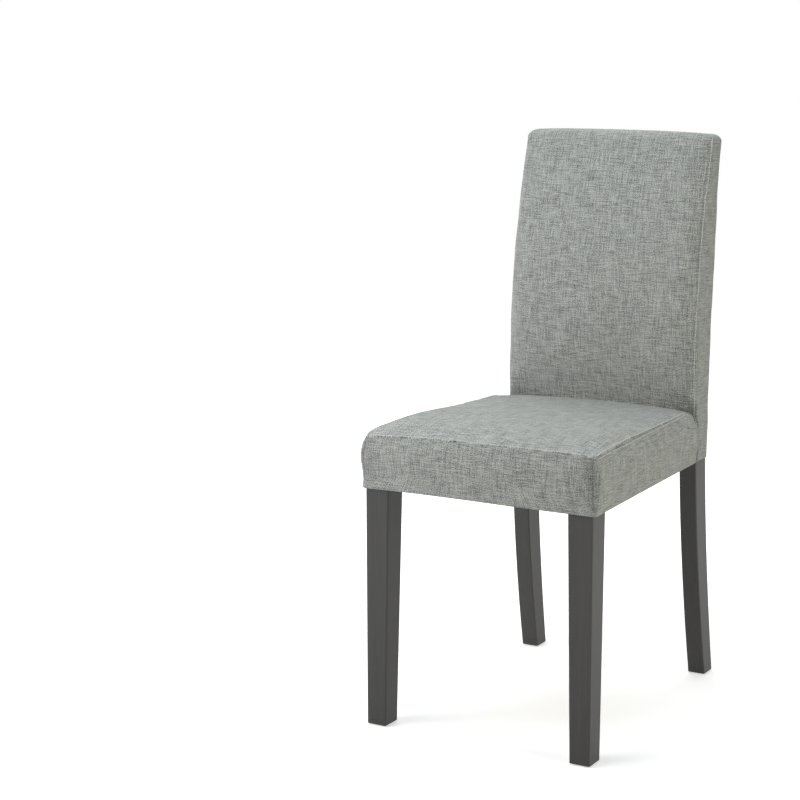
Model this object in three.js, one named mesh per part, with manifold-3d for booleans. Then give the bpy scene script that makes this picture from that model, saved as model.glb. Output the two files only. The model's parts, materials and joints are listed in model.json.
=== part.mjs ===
// A parsons dining chair: lacquered wooden legs, an upholstered seat box and an upholstered back.
// Millimetres, +Z up. The chair faces -Y and left is -X.
// While it is built, y is 0 at the front face of the front legs. The finished chair is then moved so
// that the origin lies on the floor under the middle of its box.
import * as THREE from 'three';
import { mergeVertices } from 'three/addons/utils/BufferGeometryUtils.js';
import Module from 'manifold-3d';

const wasm = await Module();
wasm.setup();

// Overall sizes
const chairHeight = 960;
const chairDepth = 569; // front of the front legs to the heel of the rear posts
const seatUnderside = 397.5;
const frontSpread = 400; // outside to outside of the front legs
const rearSpread = 354; // outside to outside of the rear posts, at the seat

// Fits
const fitGap = 0.3; // between touching pieces
const softGap = 0.5; // between a cover and the wood it wraps
const waddingSpace = 1.8; // between a cover and the foam it wraps
const seatToBackGap = 1.6; // between the seat's rolled rear edge and the back pad
const cutOverrun = 3; // how far a cutting shape runs past the face it cuts
const edgeEase = 2.5; // rounding of the lacquered edges

// Front legs
const legWidthTop = 42.3;
const legDepthTop = 46.5;
const legWidthFoot = 34.7;
const legDepthFoot = 39;
const legLean = 4; // how far the foot's front stands behind the top's
const legCornerCut = 17; // flat on the inner corner that the corner block pulls against

// Rear posts: one curved piece from the floor to the top of the back
const postWidth = 31;
const postDepthFoot = 38;
const postDepthWaist = 46.5;
const postDepthTop = 27;
const waistHeight = 430; // where the post stands upright
const footSweep = 52.5; // how far the foot runs back behind the waist
const footSplay = 4; // how far the foot stands out beside the waist
const topRake = 32; // how far the top leans back behind the waist
const topTaper = 2.5; // how much each post leans inwards by its top
const postTop = 940;
const sweepPower = 1.6;
const rakePower = 2;

// Glides nailed under the feet
const glideRadius = 9;
const glideHeight = 2.5;
const glideEdge = 1;
const nailRadius = 1.3;
const nailLength = 16;

// Seat box
const railThickness = 22;
const railHeight = 45;
const railLift = 2; // rails sit this far above the cover's lower edge
const blockThickness = 22;
const blockHeight = 36;
const rearBlockReach = 50; // diagonal distance from the box's rear corner to the block
const deckThickness = 9;
const deckMargin = 4;
const ventRadius = 10;
const ventSpacing = 110;
const dustCoverThickness = 0.8;
const dustCoverMargin = 4;

// Seat upholstery, heights measured from the underside
const seatCoverThickness = 4;
const seamRiseFront = 91;
const seamRiseRear = 96;
const seamCornerDroop = 10;
const droopLength = 50; // how far back along the side the drooping corner reaches
const droopPower = 2.5;
const crownRise = 100;
const boxingBulge = 4.5;
const bulgePower = 2; // above 1 puts the fullest part over the middle
const seatRearRadius = 5.5;
const rearRollDepth = 68; // the rolled rear edge of the seat, front to back
const rearRollHeight = 46;
const edgePower = 6; // how quickly the top panel levels out behind its seam
const rearCornerPower = 16;
const rearMiddlePower = 26;

// Back upholstery
const backCoverThickness = 2;
const padAtSeat = 19; // padding in front of the posts just above the seat
const padAtTop = 9;
const padSwell = 30; // extra padding at the small of the back
const padSwellPower = 0.9;
const padCrown = 5; // how far the middle of the back stands in front of its edges
const padCornerShare = 0.65; // rounding of the front corners as a share of the padding there
const cornerAllowance = 3; // and how much rounder they are than that
const topRoll = 16;
const shoulderDrop = 2.5; // how far the top edge falls from its middle to its ends

// Back frame
const backRailThickness = 22;
const backRailHeight = 50;
const topRailHeight = 45;
const topRailThickness = 16;
const lumbarRailHeight = 40;
const lumbarRailThickness = 18;
const lumbarRailRise = 190; // centre of the lumbar rail above the waist
const bottomRailLift = 5; // bottom rail above the seat's underside
const topRailDrop = 8; // top rail below the top of the posts
const tenonLength = 16;
const tenonShoulder = 5;
const boardThickness = 3;
const boardInset = 14;
const boardBottomRise = 80; // lower edge of the boards above the seat's underside
const boardTopDrop = 4;
const foamBottomRise = 84;

// Fasteners
const boltRadius = 3;
const boltLength = 50;
const boltHeadRadius = 6.5;
const boltHeadHeight = 3;
const boltHeadChamfer = 1;
const boltReach = 88; // from the centre line to each pair of seat bolts
const boltPairSpacing = 22;
const washerRadius = 8.5;
const washerThickness = 1.5;
const insertRadius = 5;
const insertLength = 15;
const hangerDepth = 26; // thread in the leg
const hangerProud = 3; // thread past the nut
const nutAcross = 10;
const nutHeight = 5;
const screwRadius = 1.9;
const screwHeadRadius = 4;
const screwHeadDepth = 3;
const screwLength = 31;
const screwTip = 4;
const screwSpacing = 58;

// Worked out from the sizes above
const postFront = chairDepth - footSweep - postDepthWaist;
const halfTurn = Math.PI;
const quarterTurn = Math.PI / 2;
const railBottom = seatUnderside + railLift;
const railTop = railBottom + railHeight;
const railMiddle = (railBottom + railTop) / 2;
const deckBottom = railTop + fitGap;
const deckTop = deckBottom + deckThickness;
const seatFront = -(softGap + seatCoverThickness);
const seatFrontRadius = edgeEase + softGap + seatCoverThickness;
const seatRear = postFront - softGap - backCoverThickness - seatToBackGap;
const seatCrown = seatUnderside + crownRise;
const seatMiddle = (seatFront + seatRear) / 2;
const boxRear = seatRear - seatCoverThickness - softGap;
const waistRear = postFront + postDepthWaist;
const boardBottom = seatUnderside + boardBottomRise;
const boardTop = postTop - boardTopDrop;
const blockReachFront = (legWidthTop + legDepthTop - legCornerCut) / Math.SQRT2 + fitGap;

const materials = {
  lacquer: finish(0x40403f, 0.42),
  fabric: finish(0x9a9f9b, 0.95),
  foam: finish(0xe6dcb8, 0.9),
  frameWood: finish(0xcaa877, 0.7),
  plywood: finish(0xc9a06a, 0.75),
  board: finish(0x8a6b4a, 0.8),
  dustCloth: finish(0x26272a, 0.95),
  steel: finish(0xb9bcc0, 0.35, 0.9),
  brass: finish(0xb59a55, 0.4, 0.9),
  plastic: finish(0x1f2022, 0.6),
};

const chair = new THREE.Group();

function finish(color, roughness, metalness = 0) {
  return new THREE.MeshStandardMaterial({ color, roughness, metalness });
}

function addPiece(name, geometry, material, spot) {
  const mesh = new THREE.Mesh(geometry, material);
  mesh.name = name;
  if (spot) {
    mesh.position.copy(spot.position);
    mesh.quaternion.copy(turnTo(spot.direction));
  }
  chair.add(mesh);
  return mesh;
}

function mix(from, to, share) {
  return from + (to - from) * share;
}

function clamp01(value) {
  return Math.min(Math.max(value, 0), 1);
}

function steps(count) {
  return Array.from({ length: count + 1 }, (_, i) => i / count);
}

// The turn that takes the local Z axis to a direction
function turnTo(direction) {
  const up = new THREE.Vector3(0, 0, 1);
  return new THREE.Quaternion().setFromUnitVectors(up, direction.clone().normalize());
}

// Joining and cutting

function toSolid(geometry) {
  const bare = geometry.clone();
  bare.deleteAttribute('normal');
  bare.deleteAttribute('uv');
  const merged = mergeVertices(bare);
  return new wasm.Manifold(new wasm.Mesh({
    numProp: 3,
    vertProperties: new Float32Array(merged.attributes.position.array),
    triVerts: new Uint32Array(merged.index.array),
  }));
}

function toGeometry(solid) {
  const mesh = solid.getMesh();
  const geometry = new THREE.BufferGeometry();
  geometry.setAttribute('position', new THREE.BufferAttribute(new Float32Array(mesh.vertProperties), 3));
  geometry.setIndex(new THREE.BufferAttribute(new Uint32Array(mesh.triVerts), 1));
  geometry.computeVertexNormals();
  return geometry;
}

function cut(geometry, cutters) {
  const remaining = cutters.reduce((solid, cutter) => solid.subtract(toSolid(cutter)), toSolid(geometry));
  return toGeometry(remaining);
}

function at(geometry, spot) {
  const placed = geometry.clone();
  placed.applyQuaternion(turnTo(spot.direction));
  placed.translate(spot.position.x, spot.position.y, spot.position.z);
  return placed;
}

function box(xRange, yRange, zRange) {
  const size = [xRange, yRange, zRange].map(([low, high]) => high - low);
  const centre = [xRange, yRange, zRange].map(([low, high]) => (low + high) / 2);
  return new THREE.BoxGeometry(...size).translate(...centre);
}

// Rings and outlines

// A closed body through rings of points, listed from the low end point to the high end point.
// Each ring runs anticlockwise seen from above, and each patch is split along its shorter diagonal.
function ringBody(lowPoint, rings, highPoint) {
  const count = rings[0].length;
  const points = [lowPoint, ...rings.flat(), highPoint];
  const last = points.length - 1;
  const index = [];
  for (let i = 0; i < count; i += 1) {
    const next = (i + 1) % count;
    index.push(0, 1 + next, 1 + i);
    for (let ring = 0; ring < rings.length - 1; ring += 1) {
      const low = 1 + ring * count;
      const high = low + count;
      const rising = points[low + i].distanceTo(points[high + next]);
      const falling = points[low + next].distanceTo(points[high + i]);
      if (rising < falling) {
        index.push(low + i, low + next, high + next);
        index.push(low + i, high + next, high + i);
      } else {
        index.push(low + i, low + next, high + i);
        index.push(low + next, high + next, high + i);
      }
    }
    index.push(last, last - count + i, last - count + next);
  }
  const geometry = new THREE.BufferGeometry().setFromPoints(points);
  geometry.setIndex(index);
  geometry.computeVertexNormals();
  return geometry;
}

// A plain outline with rounded corners. Corners run anticlockwise; the first side starts after the
// first corner. Every point carries the direction that faces outwards there.
function roundedOutline(corners, radii, sideSteps, cornerSteps) {
  const arcs = corners.map((corner, i) => {
    const before = corners[(i + corners.length - 1) % corners.length];
    const after = corners[(i + 1) % corners.length];
    const entering = corner.clone().sub(before).normalize();
    const leaving = after.clone().sub(corner).normalize();
    const startAngle = Math.atan2(-entering.x, entering.y);
    const turn = Math.acos(THREE.MathUtils.clamp(entering.dot(leaving), -1, 1));
    const reach = radii[i] / (1 + entering.dot(leaving));
    const centre = corner.clone().sub(new THREE.Vector2(
      (entering.y + leaving.y) * reach,
      -(entering.x + leaving.x) * reach,
    ));
    return steps(cornerSteps[i]).map((share) => {
      const angle = startAngle + turn * share;
      const facing = new THREE.Vector2(Math.cos(angle), Math.sin(angle));
      return { point: centre.clone().addScaledVector(facing, radii[i]), facing };
    });
  });
  return arcs.flatMap((arc, i) => {
    const start = arc[arc.length - 1];
    const end = arcs[(i + 1) % arcs.length][0];
    const side = steps(sideSteps[i]).slice(1, -1).map((share) => ({
      point: start.point.clone().lerp(end.point, share),
      facing: start.facing,
    }));
    return [...arc, ...side];
  });
}

// One level section through a leg with eased corners
function legSection(side, { outside, width, front, depth, z }) {
  const low = side > 0 ? outside - width : -outside;
  const high = side > 0 ? outside : width - outside;
  const corners = [[low, front], [high, front], [high, front + depth], [low, front + depth]];
  const outline = roundedOutline(
    corners.map(([x, y]) => new THREE.Vector2(x, y)),
    corners.map(() => edgeEase),
    corners.map(() => 1),
    corners.map(() => 3),
  );
  return outline.map(({ point }) => new THREE.Vector3(point.x, point.y, z));
}

function ringMiddle(loop) {
  return loop.reduce((sum, point) => sum.add(point), new THREE.Vector3()).divideScalar(loop.length);
}

function shapeFrom(points) {
  return new THREE.Shape(points.map(([x, y]) => new THREE.Vector2(x, y)));
}

// Moves a skin of rings inwards along its own normals. The lowest ring keeps its height.
function insetRings(rings, topPoint, distance) {
  return rings.map((ring, level) => ring.map((point, i) => {
    const before = ring[(i + ring.length - 1) % ring.length];
    const after = ring[(i + 1) % ring.length];
    const below = level > 0 ? rings[level - 1][i] : point;
    const above = level < rings.length - 1 ? rings[level + 1][i] : topPoint;
    const around = after.clone().sub(before);
    const facing = around.cross(above.clone().sub(below));
    if (level === 0) facing.z = 0;
    return point.clone().addScaledVector(facing.normalize(), -distance);
  }));
}

// A cover open at its lower edge: an outer skin of rings and the same skin inset by its thickness
function coverShell(rings, topPoint, thickness) {
  const inner = insetRings(rings, topPoint, thickness);
  const innerTop = topPoint.clone().setZ(topPoint.z - thickness);
  return ringBody(innerTop, [...inner.reverse(), ...rings], topPoint);
}

// What a cover can hold, less a gap all round
function coverFilling(rings, topPoint, inset) {
  const inner = insetRings(rings, topPoint, inset);
  const low = new THREE.Vector3(topPoint.x, topPoint.y, inner[0][0].z);
  return ringBody(low, inner, topPoint.clone().setZ(topPoint.z - inset));
}

// Turned and stamped hardware, standing along local Z

function turned(profile, sides) {
  const points = profile.map(([radius, height]) => new THREE.Vector2(radius, height));
  return new THREE.LatheGeometry(points, sides).rotateX(quarterTurn);
}

function rod(radius, from, to, sides = 12) {
  return turned([[0, from], [radius, from], [radius, to], [0, to]], sides);
}

function ring(innerRadius, outerRadius, height, sides = 16) {
  return turned([
    [innerRadius, 0], [outerRadius, 0], [outerRadius, height], [innerRadius, height], [innerRadius, 0],
  ], sides);
}

// Local Z points into the wood and the head's flat top lies at 0
function countersunkScrew(extra) {
  return turned([
    [0, -extra],
    [screwHeadRadius + extra, -extra],
    [screwRadius + extra, screwHeadDepth + extra],
    [screwRadius + extra, screwLength - screwTip],
    [0, screwLength + extra],
  ], 12);
}

function machineBolt() {
  return turned([
    [0, -boltHeadHeight],
    [boltHeadRadius - boltHeadChamfer, -boltHeadHeight],
    [boltHeadRadius, boltHeadChamfer - boltHeadHeight],
    [boltHeadRadius, 0],
    [boltRadius, 0],
    [boltRadius, boltLength],
    [0, boltLength],
  ], 16);
}

function hexNut() {
  const corner = nutAcross / 2 / Math.cos(halfTurn / 6);
  const outline = steps(6).slice(1).map((share) => {
    const angle = share * halfTurn * 2;
    return [corner * Math.cos(angle), corner * Math.sin(angle)];
  });
  const shape = shapeFrom(outline);
  const hole = new THREE.Path();
  hole.absarc(0, 0, boltRadius + fitGap, 0, halfTurn * 2);
  shape.holes.push(hole);
  return new THREE.ExtrudeGeometry(shape, { depth: nutHeight, bevelEnabled: false, curveSegments: 12 });
}

// Feet

const glideSocketRadius = nailRadius + fitGap;

function glide() {
  return turned([
    [0, 0],
    [glideRadius - glideEdge, 0],
    [glideRadius, glideEdge],
    [glideRadius, glideHeight - fitGap],
    [nailRadius, glideHeight - fitGap],
    [nailRadius, glideHeight + nailLength],
    [0, glideHeight + nailLength + nailRadius],
  ], 20);
}

function glideSocket(x, y) {
  const socket = rod(glideSocketRadius, 0, glideHeight + nailLength + cutOverrun);
  return socket.translate(x, y, 0);
}

// Rear posts

function belowWaist(z) {
  return clamp01((waistHeight - z) / waistHeight);
}

function aboveWaist(z) {
  return clamp01((z - waistHeight) / (chairHeight - waistHeight));
}

function postRearEdge(z) {
  return waistRear + footSweep * belowWaist(z) ** sweepPower + topRake * aboveWaist(z) ** rakePower;
}

function postDepth(z) {
  const lower = mix(postDepthWaist, postDepthFoot, belowWaist(z) ** 2);
  return lower - (postDepthWaist - postDepthTop) * aboveWaist(z);
}

function postFrontEdge(z) {
  return postRearEdge(z) - postDepth(z);
}

// How far the post's outside lies from the chair's centre line
function postOutside(z) {
  return rearSpread / 2 + footSplay * belowWaist(z) - topTaper * aboveWaist(z);
}

function postInside(z) {
  return postOutside(z) - postWidth;
}

// Side outlines are drawn in y and z and extruded along x
function extrudeAcross(outline, width) {
  const geometry = new THREE.ExtrudeGeometry(shapeFrom(outline), { depth: width, bevelEnabled: false });
  const across = new THREE.Vector3(1, 0, 0);
  const back = new THREE.Vector3(0, 1, 0);
  const up = new THREE.Vector3(0, 0, 1);
  geometry.translate(0, 0, -width / 2);
  return geometry.applyMatrix4(new THREE.Matrix4().makeBasis(back, up, across));
}

function rearPost(side) {
  const heights = [
    ...steps(9).map((share) => mix(glideHeight, waistHeight, share)),
    ...steps(9).slice(1).map((share) => mix(waistHeight, postTop, share)),
  ];
  const rings = heights.map((z) => legSection(side, {
    outside: postOutside(z),
    width: postWidth,
    front: postFrontEdge(z),
    depth: postDepth(z),
    z,
  }));
  return ringBody(ringMiddle(rings[0]), rings, ringMiddle(rings[rings.length - 1]));
}

// Rails of the back: each has shoulders that meet the leaning posts and a tenon at each end

const backRails = {
  back_bottom_rail: {
    height: backRailHeight,
    thickness: backRailThickness,
    z: seatUnderside + bottomRailLift + backRailHeight / 2,
  },
  back_lumbar_rail: {
    height: lumbarRailHeight,
    thickness: lumbarRailThickness,
    z: waistHeight + lumbarRailRise,
  },
  back_top_rail: {
    height: topRailHeight,
    thickness: topRailThickness,
    z: postTop - topRailDrop - topRailHeight / 2,
  },
};

// The rail lies just behind the front edge of the posts and leans as they do
function railSpot(rail) {
  const low = postFrontEdge(rail.z - rail.height / 2);
  const high = postFrontEdge(rail.z + rail.height / 2);
  return {
    y: Math.max(low, high, (low + high) / 2) + rail.thickness / 2 + softGap,
    lean: Math.atan2(high - low, rail.height),
  };
}

function railBody(rail, gap) {
  const half = rail.height / 2;
  const shoulder = (offset) => postInside(rail.z + offset) - fitGap;
  const body = new THREE.ExtrudeGeometry(shapeFrom([
    [-shoulder(-half), -half], [shoulder(-half), -half], [shoulder(half), half], [-shoulder(half), half],
  ]), { depth: rail.thickness, bevelEnabled: false });
  body.translate(0, 0, -rail.thickness / 2).rotateX(quarterTurn);
  const tenonReach = shoulder(half) + tenonLength + gap;
  const tenonHalf = half - tenonShoulder + gap;
  const tenonDepth = rail.thickness / 2 - tenonShoulder + gap;
  const tenons = box([-tenonReach, tenonReach], [-tenonDepth, tenonDepth], [-tenonHalf, tenonHalf]);
  const solid = gap > 0 ? toSolid(tenons) : toSolid(body).add(toSolid(tenons));
  const spot = railSpot(rail);
  return toGeometry(solid).rotateX(-spot.lean).translate(0, spot.y, rail.z);
}

// Seat box

// The sides run straight from behind the front legs to the back rail
function boxHalfWidth(y) {
  return mix(frontSpread, rearSpread, (y - legDepthTop) / (boxRear - legDepthTop)) / 2;
}

const sideRailAngle = Math.atan2(boxHalfWidth(0) - boxHalfWidth(boxRear), boxRear);
const railInset = railThickness / Math.cos(sideRailAngle);

function frontLeg(side) {
  const outside = frontSpread / 2;
  const foot = { outside, width: legWidthFoot, front: legLean, depth: legDepthFoot };
  const top = { outside, width: legWidthTop, front: 0, depth: legDepthTop };
  const rings = [
    legSection(side, { ...foot, z: glideHeight }),
    legSection(side, { ...top, z: seatUnderside }),
    legSection(side, { ...top, z: railTop }),
  ];
  return ringBody(ringMiddle(rings[0]), rings, ringMiddle(rings[2]));
}

// A corner of the seat box: its outer point and the diagonal that runs inwards from it
function boxCorner(side, end) {
  const y = end === 'front' ? 0 : boxRear;
  const inwards = end === 'front' ? 1 : -1;
  return {
    point: new THREE.Vector3(side * boxHalfWidth(y), y, railMiddle),
    inwards: new THREE.Vector3(-side, inwards, 0).normalize(),
    along: new THREE.Vector3(-side, -inwards, 0).normalize(),
    reach: end === 'front' ? blockReachFront : rearBlockReach,
  };
}

function cornerSpot(corner, distance, alongDistance, direction) {
  const position = corner.point.clone();
  position.addScaledVector(corner.inwards, distance).addScaledVector(corner.along, alongDistance);
  return { position, direction };
}

// What is cut off the leg's inner corner, from the rails' lower edge up, to seat the corner block
function blockFlat(corner) {
  const flat = box([-legWidthTop, legWidthTop], [0, legDepthTop], [railBottom, railTop + cutOverrun]);
  flat.rotateZ(Math.atan2(corner.inwards.y, corner.inwards.x) - quarterTurn);
  const spot = cornerSpot(corner, corner.reach - fitGap, 0, corner.inwards);
  return flat.translate(spot.position.x, spot.position.y, 0);
}

// The space between the rails, which every corner block is trimmed to
function insideOfRails() {
  const front = railThickness + fitGap;
  const rear = boxRear - railThickness - fitGap;
  const half = (y) => boxHalfWidth(y) - railInset - fitGap;
  const shape = shapeFrom([
    [-half(front), front], [half(front), front], [half(rear), rear], [-half(rear), rear],
  ]);
  return new THREE.ExtrudeGeometry(shape, { depth: railHeight, bevelEnabled: false })
    .translate(0, 0, railBottom);
}

function cornerBlock(corner) {
  const band = new THREE.BoxGeometry(frontSpread, blockThickness, blockHeight);
  band.rotateZ(Math.atan2(corner.along.y, corner.along.x));
  const spot = cornerSpot(corner, corner.reach + blockThickness / 2, 0, corner.inwards);
  band.translate(spot.position.x, spot.position.y, spot.position.z);
  return toGeometry(toSolid(band).intersect(toSolid(insideOfRails())));
}

function sideRail(side) {
  const front = legDepthTop + fitGap;
  const rear = boxRear - railThickness - fitGap;
  const outline = [
    [boxHalfWidth(front) - railInset, front],
    [boxHalfWidth(front), front],
    [boxHalfWidth(rear), rear],
    [boxHalfWidth(rear) - railInset, rear],
  ].map(([x, y]) => [side * x, y]);
  const shape = shapeFrom(side > 0 ? outline : outline.reverse());
  return new THREE.ExtrudeGeometry(shape, { depth: railHeight, bevelEnabled: false })
    .translate(0, 0, railBottom);
}

function frontRail() {
  const half = frontSpread / 2 - legWidthTop - fitGap;
  return box([-half, half], [0, railThickness], [railBottom, railTop]);
}

function backRail() {
  const half = boxHalfWidth(boxRear);
  return box([-half, half], [boxRear - railThickness, boxRear], [railBottom, railTop]);
}

// A sheet with the outline of the seat box, less a margin and, if asked, notches round the legs
function boxSheet(margin, thickness, z, notched) {
  const half = (y) => boxHalfWidth(y) - margin;
  const rear = boxRear - margin;
  const notchX = frontSpread / 2 - legWidthTop - fitGap - softGap;
  const notchY = legDepthTop + fitGap + softGap;
  const frontEdge = notched
    ? [[-half(notchY), notchY], [-notchX, notchY], [-notchX, margin], [notchX, margin], [notchX, notchY],
      [half(notchY), notchY]]
    : [[-half(margin), margin], [half(margin), margin]];
  const shape = shapeFrom([...frontEdge, [half(rear), rear], [-half(rear), rear]]);
  return new THREE.ExtrudeGeometry(shape, { depth: thickness, bevelEnabled: false }).translate(0, 0, z);
}

function seatDeck() {
  const vents = [[0, 0], [-1, -1], [1, -1], [-1, 1], [1, 1]].map(([across, back]) => {
    const vent = rod(ventRadius, -cutOverrun, deckThickness + cutOverrun, 16);
    return vent.translate(across * ventSpacing, seatMiddle + back * ventSpacing, deckBottom);
  });
  return cut(boxSheet(deckMargin, deckThickness, deckBottom, false), vents);
}

// Seat upholstery

const boxingShares = [0, 0.3, 0.6, 0.85, 1];
const topPanelShares = [0.03, 0.08, 0.16, 0.3, 0.5, 0.75];
const seatSideSteps = [10, 11, 8, 11];
const seatCornerSteps = [3, 3, 2, 2];

// Half the width of the seat cover's outer face at a place from front to back
function seatHalfWidth(y) {
  return boxHalfWidth(y) + softGap + seatCoverThickness;
}

// Height of the top seam: low at the front corners, arched between them, rising to the rear and
// then rolling down over the rear edge as a quarter ellipse
function seamHeight(x, y) {
  const across = clamp01(Math.abs(x) / seatHalfWidth(y));
  const back = clamp01((y - seatFront) / (seatRear - seatFront));
  const droop = seamCornerDroop * across ** droopPower * Math.exp(-(y - seatFront) / droopLength);
  const roll = clamp01((y - seatRear + rearRollDepth) / rearRollDepth);
  const fall = rearRollHeight * (1 - Math.sqrt(1 - roll ** 2));
  return seatUnderside + mix(seamRiseFront, seamRiseRear, back) - droop - fall;
}

function topPanelPower(x, y) {
  const across = clamp01(Math.abs(x) / seatHalfWidth(y));
  const rearPower = mix(rearMiddlePower, rearCornerPower, across ** 2);
  return mix(edgePower, rearPower, clamp01((y - seatRear + rearRollDepth) / rearRollDepth));
}

// Rings of the seat cover's outer face, from its lower edge up the boxing and in over the top panel
function seatRings() {
  const corners = [
    [-seatHalfWidth(seatFront), seatFront], [seatHalfWidth(seatFront), seatFront],
    [seatHalfWidth(seatRear), seatRear], [-seatHalfWidth(seatRear), seatRear],
  ].map(([x, y]) => new THREE.Vector2(x, y));
  const radii = [seatFrontRadius, seatFrontRadius, seatRearRadius, seatRearRadius];
  const outline = roundedOutline(corners, radii, seatSideSteps, seatCornerSteps);
  const boxing = boxingShares.map((share) => outline.map(({ point, facing }) => {
    const z = mix(seatUnderside, seamHeight(point.x, point.y), share);
    const free = clamp01(1 - facing.y);
    const push = boxingBulge * Math.sin(halfTurn * share ** bulgePower) * free;
    return new THREE.Vector3(point.x + facing.x * push, point.y + facing.y * push, z);
  }));
  const topPanel = topPanelShares.map((share) => outline.map(({ point }) => {
    const seam = seamHeight(point.x, point.y);
    const level = 1 - (1 - share) ** topPanelPower(point.x, point.y);
    return new THREE.Vector3(
      point.x * (1 - share),
      mix(point.y, seatMiddle, share),
      mix(seam, seatCrown, level),
    );
  }));
  return [...boxing, ...topPanel];
}

const seatTopPoint = new THREE.Vector3(0, seatMiddle, seatCrown);

// How far back the seat reaches at a height, which the back pad stays clear of
function seatRearReach(x, z) {
  const edge = seatUnderside + seamRiseRear - rearRollHeight;
  const climb = clamp01((z - edge) / (seatCrown - edge));
  const inwards = 1 - (1 - climb) ** (1 / topPanelPower(x, seatRear));
  return mix(seatRear, seatMiddle, inwards);
}

// Back upholstery

const besideSeatShares = [0, 0.42, 0.6, 0.74, 0.86, 0.95];
const backHeightShares = [0, 0.06, 0.15, 0.28, 0.42, 0.56, 0.7, 0.82, 0.92, 1];
const topRollShares = [0.4, 0.75, 1];
const lidSpreadShare = 0.5;
const lidRiseShare = 0.75;
const flatFrontShare = 0.99; // the part of the outline that faces forward at least this squarely
const backSideSteps = [8, 2, 4, 2];
const backCornerSteps = [4, 4, 2, 2];

function padThickness(z) {
  const share = clamp01((z - seatCrown) / (chairHeight - seatCrown));
  return mix(padAtSeat, padAtTop, share) + padSwell * Math.sin(halfTurn * share ** padSwellPower);
}

// Front of the back cover along its edges. Beside the seat it lies flat on the posts, and it curves
// forward over the seat's rolled rear edge.
function backFrontFace(x, z) {
  const padded = postFrontEdge(Math.max(z, waistHeight)) - padThickness(z);
  if (z > seatCrown) return padded;
  const flat = postFront - softGap - backCoverThickness;
  return Math.min(Math.max(padded, seatRearReach(x, z) + seatToBackGap), flat);
}

// One ring of the back cover at a height, drawn in all round by the inset of the rolled top
function backRing(z, inset, drop) {
  const standoff = softGap + backCoverThickness;
  const half = postOutside(z) + standoff - inset;
  const front = backFrontFace(half, z) + inset;
  const rear = postRearEdge(z) + standoff - inset;
  const padding = postFrontEdge(Math.max(z, waistHeight)) - backFrontFace(half, z);
  const rearRadius = edgeEase + standoff - inset * (edgeEase / topRoll);
  const frontRadius = Math.min(padding * padCornerShare + cornerAllowance, rear - front - rearRadius - softGap);
  const corners = [[-half, front], [half, front], [half, rear], [-half, rear]];
  const outline = roundedOutline(
    corners.map(([x, y]) => new THREE.Vector2(x, y)),
    [frontRadius, frontRadius, rearRadius, rearRadius],
    backSideSteps,
    backCornerSteps,
  );
  return outline.map(({ point, facing }) => {
    const onFront = facing.y < -flatFrontShare ? 1 : 0;
    const flatHalf = half - frontRadius;
    const crown = onFront * padCrown * (1 - clamp01(Math.abs(point.x) / flatHalf) ** 2);
    const free = clamp01((z - seatCrown) / boardBottomRise);
    const behindSeat = z > seatCrown ? seatFront : seatRearReach(point.x, z) + seatToBackGap;
    const y = Math.max(point.y - crown * free, behindSeat);
    return new THREE.Vector3(point.x, y, z - drop * (point.x / half) ** 2);
  });
}

function backRings() {
  const heights = [
    ...besideSeatShares.map((share) => mix(seatUnderside, seatCrown, share)),
    ...backHeightShares.map((share) => mix(seatCrown + seatToBackGap, chairHeight - topRoll, share)),
  ];
  const body = heights.map((z) => backRing(z, 0, 0));
  const roll = topRollShares.map((share) => {
    const angle = share * quarterTurn;
    const rise = topRoll * Math.sin(angle);
    return backRing(chairHeight - topRoll + rise, topRoll * (1 - Math.cos(angle)), shoulderDrop * share);
  });
  const rim = roll[roll.length - 1];
  const middleY = ringMiddle(rim).y;
  const lid = rim.map((point) => new THREE.Vector3(
    point.x * lidSpreadShare,
    mix(middleY, point.y, lidSpreadShare),
    mix(point.z, chairHeight, lidRiseShare),
  ));
  return { rings: [...body, ...roll, lid], topPoint: new THREE.Vector3(0, middleY, chairHeight) };
}

// A thin board that follows an edge of the posts. Its width is given at the height where it starts.
function backBoard(edge, halfWidth) {
  const heights = steps(8).map((share) => mix(boardBottom, boardTop, share));
  const front = heights.map((z) => [edge(z), z]).reverse();
  const rear = heights.map((z) => [edge(z) + boardThickness, z]);
  const board = extrudeAcross([...rear, ...front], 2 * halfWidth(boardBottom));
  const place = board.attributes.position;
  for (let i = 0; i < place.count; i += 1) {
    place.setX(i, place.getX(i) * halfWidth(place.getZ(i)) / halfWidth(boardBottom));
  }
  return board;
}

// Everything in front of the board, and over the top of the posts
function foamSpace() {
  const far = chairHeight;
  const low = seatUnderside + foamBottomRise;
  const high = postTop + softGap;
  const boardFace = (z) => postFrontEdge(z) - boardThickness - 2 * fitGap;
  const face = steps(8).map((share) => mix(low, high, share)).map((z) => [boardFace(z), z]);
  const outline = [[-far, low], ...face, [far, high], [far, 2 * far], [-far, 2 * far]];
  return extrudeAcross(outline, far);
}

// Assembly

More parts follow.
